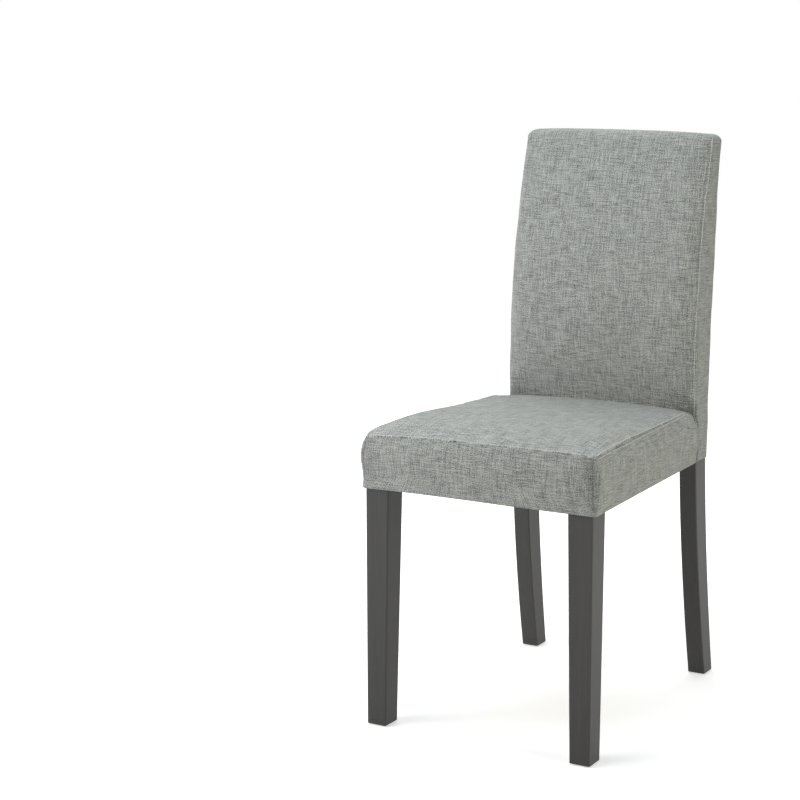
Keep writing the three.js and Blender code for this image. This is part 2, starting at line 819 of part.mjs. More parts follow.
function buildFrontLegs() {
  for (const side of [-1, 1]) {
    const hand = side < 0 ? 'left' : 'right';
    const corner = boxCorner(side, 'front');
    const outwards = corner.inwards.clone().negate();
    const footX = side * (frontSpread - legWidthFoot) / 2;
    const footY = legLean + legDepthFoot / 2;
    const face = cornerSpot(corner, corner.reach, 0, outwards);
    const bore = at(rod(boltRadius + fitGap, -cutOverrun, hangerDepth + cutOverrun), face);
    const leg = cut(frontLeg(side), [blockFlat(corner), bore, glideSocket(footX, footY)]);
    addPiece(`front_leg_${hand}`, leg, materials.lacquer);
    addPiece(`glide_front_${hand}`, glide(), materials.plastic, {
      position: new THREE.Vector3(footX, footY, 0),
      direction: new THREE.Vector3(0, 0, 1),
    });
    const stack = corner.reach + blockThickness;
    const threadEnd = blockThickness + washerThickness + nutHeight + 3 * fitGap + hangerProud;
    addPiece(`leg_bolt_${hand}`, rod(boltRadius, -threadEnd, hangerDepth), materials.steel, face);
    addPiece(`leg_washer_${hand}`, ring(boltRadius + fitGap, washerRadius, washerThickness),
      materials.steel, cornerSpot(corner, stack + fitGap, 0, corner.inwards));
    addPiece(`leg_nut_${hand}`, hexNut(), materials.steel,
      cornerSpot(corner, stack + washerThickness + 2 * fitGap, 0, corner.inwards));
  }
}

function buildRearPosts() {
  for (const side of [-1, 1]) {
    const hand = side < 0 ? 'left' : 'right';
    const footX = side * (postOutside(0) - postWidth / 2);
    const footY = postRearEdge(0) - postDepthFoot / 2;
    const mortises = Object.values(backRails).map((rail) => railBody(rail, fitGap));
    const post = cut(rearPost(side), [...mortises, glideSocket(footX, footY)]);
    addPiece(`rear_post_${hand}`, post, materials.lacquer);
    addPiece(`glide_rear_${hand}`, glide(), materials.plastic, {
      position: new THREE.Vector3(footX, footY, 0),
      direction: new THREE.Vector3(0, 0, 1),
    });
  }
}

// Where the screws of one corner stand, their heads flush with the block's inner face
function screwSpots(corner) {
  const outwards = corner.inwards.clone().negate();
  const distance = corner.reach + blockThickness;
  return [-1, 1].map((end) => cornerSpot(corner, distance, end * screwSpacing / 2, outwards));
}

function boltSpots() {
  const direction = new THREE.Vector3(0, 1, 0);
  const y = boxRear - railThickness - washerThickness - 2 * fitGap;
  return [-1, 1].flatMap((side) => [-1, 1].map((end) => ({
    name: `${side < 0 ? 'left' : 'right'}_${end < 0 ? 'lower' : 'upper'}`,
    position: new THREE.Vector3(side * boltReach, y, railMiddle + end * boltPairSpacing / 2),
    direction,
  })));
}

function boltHole(spot, radius = boltRadius + fitGap) {
  return at(rod(radius, -cutOverrun, boltLength + cutOverrun), spot);
}

function buildSeatBox() {
  const screwHoles = [];
  for (const end of ['front', 'back']) {
    for (const side of [-1, 1]) {
      const hand = side < 0 ? 'left' : 'right';
      const corner = boxCorner(side, end);
      const spots = screwSpots(corner);
      const holes = spots.map((spot) => at(countersunkScrew(fitGap), spot));
      screwHoles.push(...holes);
      const outwards = corner.inwards.clone().negate();
      const bore = at(rod(boltRadius + fitGap, -blockThickness - cutOverrun, cutOverrun),
        cornerSpot(corner, corner.reach, 0, outwards));
      const cuts = end === 'front' ? [...holes, bore] : holes;
      addPiece(`corner_block_${end}_${hand}`, cut(cornerBlock(corner), cuts), materials.frameWood);
      spots.forEach((spot, i) => {
        addPiece(`block_screw_${end}_${hand}_${i + 1}`, countersunkScrew(0), materials.steel, spot);
      });
    }
  }
  addPiece('seat_rail_front', cut(frontRail(), screwHoles), materials.frameWood);
  addPiece('seat_rail_left', cut(sideRail(-1), screwHoles), materials.frameWood);
  addPiece('seat_rail_right', cut(sideRail(1), screwHoles), materials.frameWood);
  const bolts = boltSpots();
  const boltHoles = bolts.map((spot) => boltHole(spot));
  addPiece('seat_rail_back', cut(backRail(), [...screwHoles, ...boltHoles]), materials.frameWood);
  for (const spot of bolts) {
    addPiece(`seat_bolt_${spot.name}`, machineBolt(), materials.steel, spot);
    const washerSpot = { position: spot.position.clone(), direction: spot.direction };
    washerSpot.position.y += fitGap;
    addPiece(`bolt_washer_${spot.name}`, ring(boltRadius + fitGap, washerRadius, washerThickness),
      materials.steel, washerSpot);
  }
  addPiece('seat_deck', seatDeck(), materials.plywood);
  const dustZ = railBottom - fitGap - dustCoverThickness;
  addPiece('dust_cover', boxSheet(dustCoverMargin, dustCoverThickness, dustZ, true), materials.dustCloth);
}

function buildSeatUpholstery() {
  const rings = seatRings();
  const holes = boltSpots().map((spot) => boltHole(spot, boltRadius + softGap));
  const shell = coverShell(rings, seatTopPoint, seatCoverThickness);
  addPiece('seat_cover', cut(shell, holes), materials.fabric);
  const filling = coverFilling(rings, seatTopPoint, seatCoverThickness + waddingSpace);
  const half = frontSpread;
  const below = box([-half, half], [-half, 2 * half], [0, deckTop + fitGap]);
  addPiece('seat_foam', cut(filling, [below]), materials.foam);
}

function buildBackFrame() {
  const bolts = boltSpots();
  const bottomSpot = railSpot(backRails.back_bottom_rail);
  const insertFront = bottomSpot.y - backRailThickness / 2;
  for (const [name, rail] of Object.entries(backRails)) {
    let geometry = railBody(rail, 0);
    if (name === 'back_bottom_rail') {
      const seats = bolts.map((spot) => {
        const seat = rod(insertRadius + fitGap, -cutOverrun, insertLength + fitGap);
        return seat.rotateX(-quarterTurn).translate(spot.position.x, insertFront, spot.position.z);
      });
      geometry = cut(geometry, [...seats, ...bolts.map((spot) => boltHole(spot))]);
    }
    addPiece(name, geometry, materials.frameWood);
  }
  for (const spot of bolts) {
    const insertSpot = { position: spot.position.clone().setY(insertFront), direction: spot.direction };
    addPiece(`threaded_insert_${spot.name}`, ring(boltRadius + fitGap, insertRadius, insertLength, 12),
      materials.brass, insertSpot);
  }
  const board = backBoard(
    (z) => postFrontEdge(z) - boardThickness - fitGap,
    (z) => postOutside(z) - boardInset,
  );
  const lining = backBoard(
    (z) => postRearEdge(z) - boardThickness,
    (z) => postInside(z) - fitGap,
  );
  addPiece('back_board', board, materials.board);
  addPiece('back_lining', lining, materials.board);
}

function buildBackUpholstery() {
  const { rings, topPoint } = backRings();
  const holes = boltSpots().map((spot) => boltHole(spot, boltRadius + softGap));
  const shell = coverShell(rings, topPoint, backCoverThickness);
  addPiece('back_cover', cut(shell, holes), materials.fabric);
  const filling = toSolid(coverFilling(rings, topPoint, backCoverThickness + waddingSpace));
  addPiece('back_foam', toGeometry(filling.intersect(toSolid(foamSpace()))), materials.foam);
}

buildFrontLegs();
buildRearPosts();
buildSeatBox();
buildSeatUpholstery();
buildBackFrame();
buildBackUpholstery();

const bounds = new THREE.Box3().setFromObject(chair);
const centre = bounds.getCenter(new THREE.Vector3());
chair.position.set(-centre.x, -centre.y, -bounds.min.z);

const partsModel = new THREE.Group();
partsModel.add(chair);
export default partsModel;
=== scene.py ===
import json
import math
import bpy
import numpy as np
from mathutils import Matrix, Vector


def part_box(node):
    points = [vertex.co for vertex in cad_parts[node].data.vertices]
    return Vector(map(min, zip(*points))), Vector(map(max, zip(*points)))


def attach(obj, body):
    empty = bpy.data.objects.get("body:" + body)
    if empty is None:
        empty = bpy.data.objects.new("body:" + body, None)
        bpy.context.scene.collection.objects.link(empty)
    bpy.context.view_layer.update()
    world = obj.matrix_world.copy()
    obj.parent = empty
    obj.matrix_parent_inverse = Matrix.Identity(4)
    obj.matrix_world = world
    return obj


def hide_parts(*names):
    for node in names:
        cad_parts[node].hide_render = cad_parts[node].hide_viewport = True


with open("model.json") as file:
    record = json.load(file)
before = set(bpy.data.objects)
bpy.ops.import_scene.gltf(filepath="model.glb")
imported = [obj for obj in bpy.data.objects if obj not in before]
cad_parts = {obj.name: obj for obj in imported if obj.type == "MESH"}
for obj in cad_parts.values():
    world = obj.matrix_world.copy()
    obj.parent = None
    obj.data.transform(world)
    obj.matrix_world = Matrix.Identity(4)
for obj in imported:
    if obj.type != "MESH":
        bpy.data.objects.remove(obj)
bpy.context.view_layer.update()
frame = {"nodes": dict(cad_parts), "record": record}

cadNodes = frame["nodes"]
scene = bpy.context.scene

# Shapes are worked out in millimetres, with y counted from the front of the front legs. The front
# rail's face says where that is in the frame.
mm = 0.001
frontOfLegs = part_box("seat_rail_front")[0][1]


def toFrame(points):
    return points * mm + np.array([0.0, frontOfLegs, 0.0])


def mix(low, high, share):
    return low + (high - low) * share


def unit(vectors):
    return vectors / np.maximum(np.linalg.norm(vectors, axis=-1, keepdims=True), 1e-9)


def smooth(value, low, high):
    share = np.clip((value - low) / (high - low), 0, 1)
    return share * share * (3 - 2 * share)


def bell(value, width):
    return np.exp(-(value / width) ** 2)


# Steps from 0 to 1 that crowd together at some places, found by adding up a density
def crowded(count, places=(), width=0.05, gain=6.0):
    fine = np.linspace(0, 1, 2001)
    density = 1 + gain * sum((bell(fine - place, width) for place in places), np.zeros_like(fine))
    total = np.concatenate([[0], np.cumsum((density[1:] + density[:-1]) / 2)])
    return np.interp(np.linspace(0, 1, count + 1), total / total[-1], fine)


# Surfaces

# A column round a section lies on a corner arc, or on the run between two arcs. Corners and sides go
# anticlockwise from the front left corner and the front. Turns are degrees from the side to the
# front at the front corners, and from the side to the rear at the rear ones.
def sectionColumns(frontRun, sideRun, rearRun, frontTurns, rearTurns):
    turns = [frontTurns, 90 - frontTurns[::-1], rearTurns, 90 - rearTurns[::-1]]
    runs = [frontRun, sideRun, rearRun, sideRun[::-1] * -1 + 1]
    rows, counts = [], []
    for side in range(4):
        following = (side + 1) % 4
        before = [(side, side, 0, 90 * side - 180 + turn) for turn in turns[side] if turn >= 45]
        along = [(side, following, share, 90 * side - 90) for share in runs[side]]
        after = [(following, following, 0, 90 * side - 90 + turn) for turn in turns[following] if turn < 45]
        rows += before + along + after
        counts.append(len(before) + len(along) + len(after))
    table = np.array(rows, float)
    corners = table[:, :2].astype(int)
    return (corners[:, 0], corners[:, 1], table[:, 2], np.radians(table[:, 3])), counts


# Points of every row at every column. A corner is a quarter ellipse, and a run is the straight blend
# of the ends of its two arcs. The facing is the ellipse's normal.
def sectionRows(half, front, rear, frontRadii, rearRadius, columns):
    corner, following, share, angle = columns
    radiusX = np.stack([frontRadii[0], frontRadii[0], rearRadius, rearRadius], 1)
    radiusY = np.stack([frontRadii[1], frontRadii[1], rearRadius, rearRadius], 1)
    centreX = np.array([-1, 1, 1, -1]) * (half[:, None] - radiusX)
    centreY = np.stack([front, front, rear, rear], 1) + np.array([1, 1, -1, -1]) * radiusY
    cosine, sine = np.cos(angle), np.sin(angle)
    x = mix(*(centreX[:, k] + radiusX[:, k] * cosine for k in (corner, following)), share)
    y = mix(*(centreY[:, k] + radiusY[:, k] * sine for k in (corner, following)), share)
    facing = unit(np.stack([cosine * radiusY[:, corner], sine * radiusX[:, corner]], -1))
    return x, y, facing


def loopSides(loop, across, along):
    front = loop[: across + 1]
    right = loop[across : across + along + 1]
    rear = loop[across + along : 2 * across + along + 1][::-1]
    left = np.concatenate([loop[2 * across + along :], loop[:1]])[::-1]
    return front, right, rear, left


def stepShares(edge):
    steps = np.linalg.norm(np.diff(edge, axis=0), axis=1)
    return np.concatenate([[0], np.cumsum(steps)]) / steps.sum()


# Patch inside a closed loop of four sides: the two straight blends between opposite sides added
# together, less the blend of the four corners
def patchInside(loop, across, along):
    front, right, rear, left = loopSides(loop, across, along)
    u = mix(stepShares(front), stepShares(rear), 0.5)[None, :, None]
    v = mix(stepShares(left), stepShares(right), 0.5)[:, None, None]
    sides = mix(left[:, None], right[:, None], u) + mix(front[None], rear[None], v)
    corners = mix(mix(front[0], front[-1], u), mix(rear[0], rear[-1], u), v)
    patch = sides - corners
    patch[0], patch[-1], patch[:, 0], patch[:, -1] = front, rear, left, right
    return patch


# Vertex numbers of a patch whose rim is a loop of vertices that start at firstLoop
def patchIndex(across, along, firstLoop, firstInside):
    index = np.zeros((along + 1, across + 1), int)
    loop = firstLoop + np.arange(2 * (across + along))
    index[0], index[:, -1], index[-1], index[:, 0] = loopSides(loop, across, along)
    inside = firstInside + np.arange((along - 1) * (across - 1))
    index[1:-1, 1:-1] = inside.reshape(along - 1, across - 1)
    return index


def corners4(grid):
    return np.stack([grid[:-1, :-1], grid[:-1, 1:], grid[1:, 1:], grid[1:, :-1]], 2)


def gridFaces(index):
    return corners4(index).reshape(-1, 4)


def closedRows(rows):
    return np.concatenate([rows, rows[:, :1]], 1)


def rowNormals(rows):
    around = np.roll(rows, -1, 1) - np.roll(rows, 1, 1)
    return unit(np.cross(around, np.gradient(rows, axis=0)))


def runLength(points):
    return np.concatenate([[0], np.cumsum(np.linalg.norm(np.diff(points, axis=0), axis=-1))])


# A closed form: rows of a wall from its floor up, a patch over the last row and a fan under the first.
# Each face's corners have their own cloth coordinates, millimetres along the weft and the warp.
def makeForm(name, wall, patch, wallCloth, patchCloth, shade):
    total = wall.shape[1]
    along, across = patch.shape[0] - 1, patch.shape[1] - 1
    points = np.concatenate([wall.reshape(-1, 3), patch[1:-1, 1:-1].reshape(-1, 3), wall[0].mean(0)[None]])
    numbers = closedRows(np.arange(wall.shape[0] * total).reshape(-1, total))
    index = patchIndex(across, along, (wall.shape[0] - 1) * total, wall.shape[0] * total)
    quads = np.concatenate([gridFaces(numbers), gridFaces(index)])
    floor = np.stack([np.full(total, len(points) - 1), numbers[0, 1:], numbers[0, :-1]], 1)
    cloth = np.concatenate([wallCloth.reshape(-1, 2), patchCloth.reshape(-1, 2)]) * mm
    return makePiece(name, points, quads, floor, cloth, shade)


def makePiece(name, points, quads, triangles=None, cloth=None, shade=None):
    mesh = bpy.data.meshes.new(name)
    loops = quads.reshape(-1)
    starts = np.arange(len(quads)) * 4
    if triangles is not None:
        starts = np.concatenate([starts, len(loops) + np.arange(len(triangles)) * 3])
        loops = np.concatenate([loops, triangles.reshape(-1)])
    mesh.vertices.add(len(points))
    mesh.vertices.foreach_set("co", toFrame(points).astype(np.float32).reshape(-1))
    mesh.loops.add(len(loops))
    mesh.loops.foreach_set("vertex_index", loops.astype(np.int32))
    mesh.polygons.add(len(starts))
    mesh.polygons.foreach_set("loop_start", starts.astype(np.int32))
    mesh.update(calc_edges=True)
    mesh.polygons.foreach_set("use_smooth", np.ones(len(starts), bool))
    if cloth is not None:
        full = np.zeros((len(loops), 2), np.float32)
        full[: len(cloth)] = cloth
        mesh.uv_layers.new(name="cloth").data.foreach_set("uv", full.reshape(-1))
    if shade is not None:
        mesh.attributes.new("shade", "FLOAT", "POINT").data.foreach_set("value", shade.astype(np.float32))
    mesh.validate()
    piece = bpy.data.objects.new(name, mesh)
    scene.collection.objects.link(piece)
    return piece


# Slow waves over a surface: a sum of sines with mixed directions, for cloth that isn't quite flat
def ripples(u, v, length, seed, count=9):
    random = np.random.default_rng(seed)
    total = np.zeros(np.broadcast(u, v).shape)
    for _ in range(count):
        heading = random.uniform(0, 2 * math.pi)
        rate = 2 * math.pi / (length * random.uniform(0.6, 1.7))
        lean = (u * math.cos(heading) + v * math.sin(heading)) * rate
        total += np.sin(lean + random.uniform(0, 2 * math.pi))
    return total / math.sqrt(count)


# Cloth simulation

clothSettings = {"step": 4, "frames": 18, "pressure": 3.5, "fullness": -0.012, "quality": 6,
                 "wallWaves": (26, 4), "topWaves": (13, 13)}


# Waves of two shares: sines and cosines round a closed wall or cosines across an open top, each times
# cosines up or along
def waveTable(first, second, counts, closed):
    table = [np.ones_like(first)]
    for k in range(1, counts[0]):
        if closed:
            table += [np.cos(2 * math.pi * k * first), np.sin(2 * math.pi * k * first)]
        else:
            table.append(np.cos(math.pi * k * first))
    rises = [np.cos(math.pi * k * second) for k in range(counts[1])]
    return np.stack([one * other for one in table for other in rises], -1)


# The sum of waves that comes closest to a movement at its sampled places
def waveFit(first, second, movement, counts, closed):
    table = waveTable(first.reshape(-1), second.reshape(-1), counts, closed)
    keep = 1e-3 * len(table) * np.eye(table.shape[1])
    weights = np.linalg.solve(table.T @ table + keep, table.T @ movement.reshape(-1))
    return lambda one, other: waveTable(one, other, counts, closed) @ weights


def shareOf(surface, low, high):
    place = (surface - low) / (high - low)
    return place[..., 0], place[..., 1]


# A coarse copy of the form is held along its seams and hem, cut slightly too large for them and blown
# up. How far the wall moves outwards and the top upwards, up to a cap, is given back as two fits.
def clothMovement(wall, patch, rows, heldRows, heldColumns, cap):
    step = clothSettings["step"]
    columns = np.arange(0, wall.shape[1], step)
    coarseWall = wall[rows][:, columns]
    coarsePatch = patch[::step, ::step]
    along, across = coarsePatch.shape[0] - 1, coarsePatch.shape[1] - 1
    count = len(rows) * len(columns)
    points = np.concatenate([coarseWall.reshape(-1, 3), coarsePatch[1:-1, 1:-1].reshape(-1, 3)])
    numbers = closedRows(np.arange(count).reshape(len(rows), -1))
    index = patchIndex(across, along, count - len(columns), count)
    quads = np.concatenate([gridFaces(numbers), gridFaces(index)])
    held = np.zeros(len(points), bool)
    held[:count] = (np.isin(rows, heldRows)[:, None] | heldColumns[columns][None]).reshape(-1)

    mesh = bpy.data.meshes.new("clothRun")
    mesh.from_pydata(toFrame(points).tolist(), [], quads.tolist())
    body = bpy.data.objects.new("clothRun", mesh)
    scene.collection.objects.link(body)
    body.vertex_groups.new(name="held").add(np.flatnonzero(held).tolist(), 1.0, "REPLACE")
    cloth = body.modifiers.new("cloth", "CLOTH")
    cloth.point_cache.frame_start = 1
    cloth.point_cache.frame_end = clothSettings["frames"]
    cloth.settings.quality = clothSettings["quality"]
    cloth.settings.vertex_group_mass = "held"
    cloth.settings.use_pressure = True
    cloth.settings.uniform_pressure_force = clothSettings["pressure"]
    cloth.settings.shrink_min = clothSettings["fullness"]
    cloth.settings.effector_weights.gravity = 0
    for number in range(1, clothSettings["frames"] + 1):
        scene.frame_set(number)
    blown = body.evaluated_get(bpy.context.evaluated_depsgraph_get()).to_mesh()
    after = np.empty(len(points) * 3, np.float32)
    blown.vertices.foreach_get("co", after)
    bpy.data.objects.remove(body)
    bpy.data.meshes.remove(mesh)
    scene.frame_set(1)
    moved = (after.reshape(-1, 3) - toFrame(points)) / mm
    reach = np.linalg.norm(moved, axis=1)
    print("cloth run", len(points), "points, mean", round(float(reach.mean()), 2), "largest", round(float(reach.max()), 2))
    moved *= (cap * np.tanh(reach / cap) / np.maximum(reach, 1e-6))[:, None]

    out = (moved[:count].reshape(coarseWall.shape) * rowNormals(coarseWall)).sum(-1)
    run = runLength(np.concatenate([wall[rows[2]], wall[rows[2], :1]]))
    shares = run[columns] / run[-1]
    heights = runLength(wall[rows, 0])
    seamAt = list(rows).index(heldRows[-1]) + 1
    heights = heights[:seamAt] / heights[seamAt - 1]
    wallFit = waveFit(*np.meshgrid(shares, heights), out[:seamAt], clothSettings["wallWaves"], True)
    low, high = patch.min((0, 1)), patch.max((0, 1))
    fit = waveFit(*shareOf(coarsePatch, low, high), moved[index][..., 2], clothSettings["topWaves"], False)
    return wallFit, lambda surface: fit(*shareOf(surface, low, high))


# Materials

def newMaterial(name):
    material = bpy.data.materials.new(name)
    material.use_nodes = True
    return material, material.node_tree.nodes, material.node_tree.links


def addNode(nodes, kind, **settings):
    node = nodes.new(kind)
    for key, value in settings.items():
        if key in node.inputs:
            node.inputs[key].default_value = value
        else:
            setattr(node, key, value)
    return node


def feed(links, socket, value):
    if isinstance(value, bpy.types.NodeSocket):
        links.new(value, socket)
    else:
        socket.default_value = value


def maths(nodes, links, operation, first, second=None, clamp=False):
    node = addNode(nodes, "ShaderNodeMath", operation=operation, use_clamp=clamp)
    feed(links, node.inputs[0], first)
    if second is not None:
        feed(links, node.inputs[1], second)
    return node.outputs[0]


def stretched(nodes, links, source, scale):
    node = addNode(nodes, "ShaderNodeVectorMath", operation="MULTIPLY")
    feed(links, node.inputs[0], source)
    feed(links, node.inputs[1], scale)
    return node.outputs[0]


def noiseAt(nodes, links, source, scale, detail=2.0, roughness=0.5):
    node = addNode(nodes, "ShaderNodeTexNoise", Scale=1.0, Detail=detail, Roughness=roughness)
    links.new(stretched(nodes, links, source, scale), node.inputs["Vector"])
    return node.outputs["Fac"]


def colourMix(nodes, links, share, low, high):
    node = addNode(nodes, "ShaderNodeMix", data_type="RGBA")
    for slot, value in ((0, share), (6, low), (7, high)):
        feed(links, node.inputs[slot], value)
    return node.outputs[2]


def remapped(nodes, links, source, fromLow, fromHigh, toLow=0.0, toHigh=1.0):
    node = nodes.new("ShaderNodeMapRange")
    for slot, value in enumerate((source, fromLow, fromHigh, toLow, toHigh)):
        feed(links, node.inputs[slot], value)
    return node.outputs[0]


def centred(nodes, links, value, gain):
    return maths(nodes, links, "MULTIPLY", maths(nodes, links, "SUBTRACT", value, 0.5), gain)


def newGroup(name, numbers, colours, results):
    group = bpy.data.node_groups.new(name, "ShaderNodeTree")
    face = group.interface
    face.new_socket(name="Place", in_out="INPUT", socket_type="NodeSocketVector")
    for label, value in numbers:
        face.new_socket(name=label, in_out="INPUT", socket_type="NodeSocketFloat").default_value = value
    for label in colours:
        face.new_socket(name=label, in_out="INPUT", socket_type="NodeSocketColor")
    for label, kind in results:
        face.new_socket(name=label, in_out="OUTPUT", socket_type="NodeSocket" + kind)
    nodes = group.nodes
    return group, nodes, group.links, nodes.new("NodeGroupInput").outputs, nodes.new("NodeGroupOutput").inputs


# Linen weave. Place is millimetres along the weft and the warp. Thick and thin places run light and
# dark along each thread, from a noise that is stretched along it and skewed so that its cells don't
# line up. Flecks sit on top, and the crossing threads make the height.
def buildWeaveGroup():
    group, nodes, links, given, result = newGroup(
        "linenWeave", [("Pitch", 0.9), ("Slub", 1.0), ("Fleck", 1.0), ("Cloud", 0.3), ("Shade", 0.0)],
        ["Dark", "Light", "Warm"], [("Color", "Color"), ("Height", "Float"), ("Roughness", "Float")])
    place = given["Place"]
    split = addNode(nodes, "ShaderNodeSeparateXYZ")
    links.new(place, split.inputs[0])
    wander = centred(nodes, links, noiseAt(nodes, links, place, (0.06, 0.06, 0.06)), 2.0)
    waves = []
    for axis in (0, 1):
        along = maths(nodes, links, "ADD", split.outputs[axis], wander)
        turns = maths(nodes, links, "DIVIDE", along, given["Pitch"])
        waves.append(maths(nodes, links, "SINE", maths(nodes, links, "MULTIPLY", turns, math.pi)))
    crossing = maths(nodes, links, "MULTIPLY", waves[0], waves[1])
    weftOnTop = remapped(nodes, links, crossing, -0.35, 0.35)
    runs = []
    for across, lengthwise in ((0, 1), (1, 0)):
        skewed = maths(nodes, links, "MULTIPLY", split.outputs[across], 0.83)
        skewed = maths(nodes, links, "ADD", skewed, maths(nodes, links, "MULTIPLY", split.outputs[lengthwise], 0.055))
        joined = nodes.new("ShaderNodeCombineXYZ")
        for slot, value in enumerate((split.outputs[across], skewed, split.outputs[across])):
            feed(links, joined.inputs[slot], value)
        runs.append(noiseAt(nodes, links, joined.outputs[0], (1.15, 1.0, 0.4), 0.5, 0.5))
    warpRun, weftRun = runs
    threads = addNode(nodes, "ShaderNodeMix")
    for slot, value in ((0, remapped(nodes, links, crossing, -1.0, 1.0)), (2, warpRun), (3, weftRun)):
        feed(links, threads.inputs[slot], value)
    fleck = noiseAt(nodes, links, place, (0.87, 0.79, 1.0), 0.5, 0.6)
    cloud = noiseAt(nodes, links, place, (0.05, 0.05, 0.05), 3.0, 0.6)

    tone = maths(nodes, links, "ADD", centred(nodes, links, threads.outputs[0], given["Slub"]),
                 centred(nodes, links, fleck, given["Fleck"]))
    tone = maths(nodes, links, "ADD", tone, centred(nodes, links, cloud, given["Cloud"]))
    # Painted shade from the Shade input darkens the tone
    tone = maths(nodes, links, "SUBTRACT", tone, given["Shade"])
    tone = maths(nodes, links, "ADD", tone, 0.5, clamp=True)
    hue = remapped(nodes, links, noiseAt(nodes, links, place, (0.14, 0.11, 1.0), 2.0, 0.7), 0.4, 0.6)
    light = colourMix(nodes, links, hue, given["Light"], given["Warm"])
    links.new(colourMix(nodes, links, tone, given["Dark"], light), result["Color"])

    height = addNode(nodes, "ShaderNodeMix")
    for slot, value in ((0, weftOnTop), (2, maths(nodes, links, "ABSOLUTE", waves[0])),
                        (3, maths(nodes, links, "ABSOLUTE", waves[1]))):
        feed(links, height.inputs[slot], value)
    uneven = maths(nodes, links, "ADD", centred(nodes, links, threads.outputs[0], 1.5),
                   centred(nodes, links, fleck, 1.5))
    links.new(maths(nodes, links, "ADD", height.outputs[0], uneven), result["Height"])
    links.new(remapped(nodes, links, tone, 0.2, 0.8, 0.96, 0.84), result["Roughness"])
    return group


# Fibres or grit in one material: a stretched noise with slow mottling gives a tone between 0 and 1
def buildGrainGroup():
    group, nodes, links, given, result = newGroup(
        "fineGrain", [("Mottling", 0.4)], ["Dark", "Light"],
        [("Color", "Color"), ("Tone", "Float"), ("Height", "Float")])
    fine = noiseAt(nodes, links, given["Place"], (1, 1, 1), 4.0, 0.6)
    slow = noiseAt(nodes, links, given["Place"], (0.11, 0.11, 0.11), 2.0)
    both = addNode(nodes, "ShaderNodeMix")
    for slot, value in ((0, given["Mottling"]), (2, fine), (3, slow)):
        feed(links, both.inputs[slot], value)
    tone = remapped(nodes, links, both.outputs[0], 0.35, 0.65)
    links.new(colourMix(nodes, links, tone, given["Dark"], given["Light"]), result["Color"])
    links.new(tone, result["Tone"])
    links.new(fine, result["Height"])
    return group


weave = buildWeaveGroup()
grain = buildGrainGroup()
linenSettings = {
    "dark": (0.105, 0.117, 0.112), "light": (0.560, 0.590, 0.570), "warm": (0.580, 0.580, 0.540),
    "pitch": 0.9, "slub": 3.4, "fleck": 3.5, "cloud": 0.25, "bumpDepth": 0.0004,
}


def makeLinen(name, look):
    material, nodes, links = newMaterial(name)
    shader = nodes["Principled BSDF"]
    shader.inputs["Sheen Weight"].default_value = 0.2
    shader.inputs["Sheen Roughness"].default_value = 0.6
    shader.inputs["Specular IOR Level"].default_value = 0.2
    cloth = addNode(nodes, "ShaderNodeUVMap", uv_map="cloth")
    # The shade attribute carries painted shade, which the weave takes off the cloth's tone
    paintedShade = addNode(nodes, "ShaderNodeAttribute", attribute_name="shade")
    use = addNode(nodes, "ShaderNodeGroup", node_tree=weave)
    for label in ("pitch", "slub", "fleck", "cloud"):
        use.inputs[label.capitalize()].default_value = look[label]
    for label in ("dark", "light", "warm"):
        use.inputs[label.capitalize()].default_value = (*look[label], 1)
    links.new(stretched(nodes, links, cloth.outputs["UV"], (1000, 1000, 1000)), use.inputs["Place"])
    links.new(paintedShade.outputs["Fac"], use.inputs["Shade"])
    bump = addNode(nodes, "ShaderNodeBump", Strength=0.6, Distance=look["bumpDepth"])
    links.new(use.outputs["Height"], bump.inputs["Height"])
    links.new(use.outputs["Color"], shader.inputs["Base Color"])
    links.new(use.outputs["Roughness"], shader.inputs["Roughness"])
    links.new(bump.outputs["Normal"], shader.inputs["Normal"])
    return material


# One look for every hard or plain finish: two colours, how the grain is stretched per metre, how
# rough it is at the dark and the light end, and how deep its grain is
def makeGrained(name, dark, light, scale, roughness, metallic=0.0, specular=0.5, depth=0.0003, mottling=0.4):
    material, nodes, links = newMaterial(name)
    shader = nodes["Principled BSDF"]
    shader.inputs["Metallic"].default_value = metallic
    shader.inputs["Specular IOR Level"].default_value = specular
    use = addNode(nodes, "ShaderNodeGroup", node_tree=grain)
    use.inputs["Mottling"].default_value = mottling
    use.inputs["Dark"].default_value = (*dark, 1)
    use.inputs["Light"].default_value = (*light, 1)
    place = nodes.new("ShaderNodeTexCoord").outputs["Object"]
    links.new(stretched(nodes, links, place, scale), use.inputs["Place"])
    links.new(use.outputs["Color"], shader.inputs["Base Color"])
    links.new(remapped(nodes, links, use.outputs["Tone"], 0, 1, *roughness), shader.inputs["Roughness"])
    bump = addNode(nodes, "ShaderNodeBump", Strength=0.3, Distance=depth)
    links.new(use.outputs["Height"], bump.inputs["Height"])
    links.new(bump.outputs["Normal"], shader.inputs["Normal"])
    return material


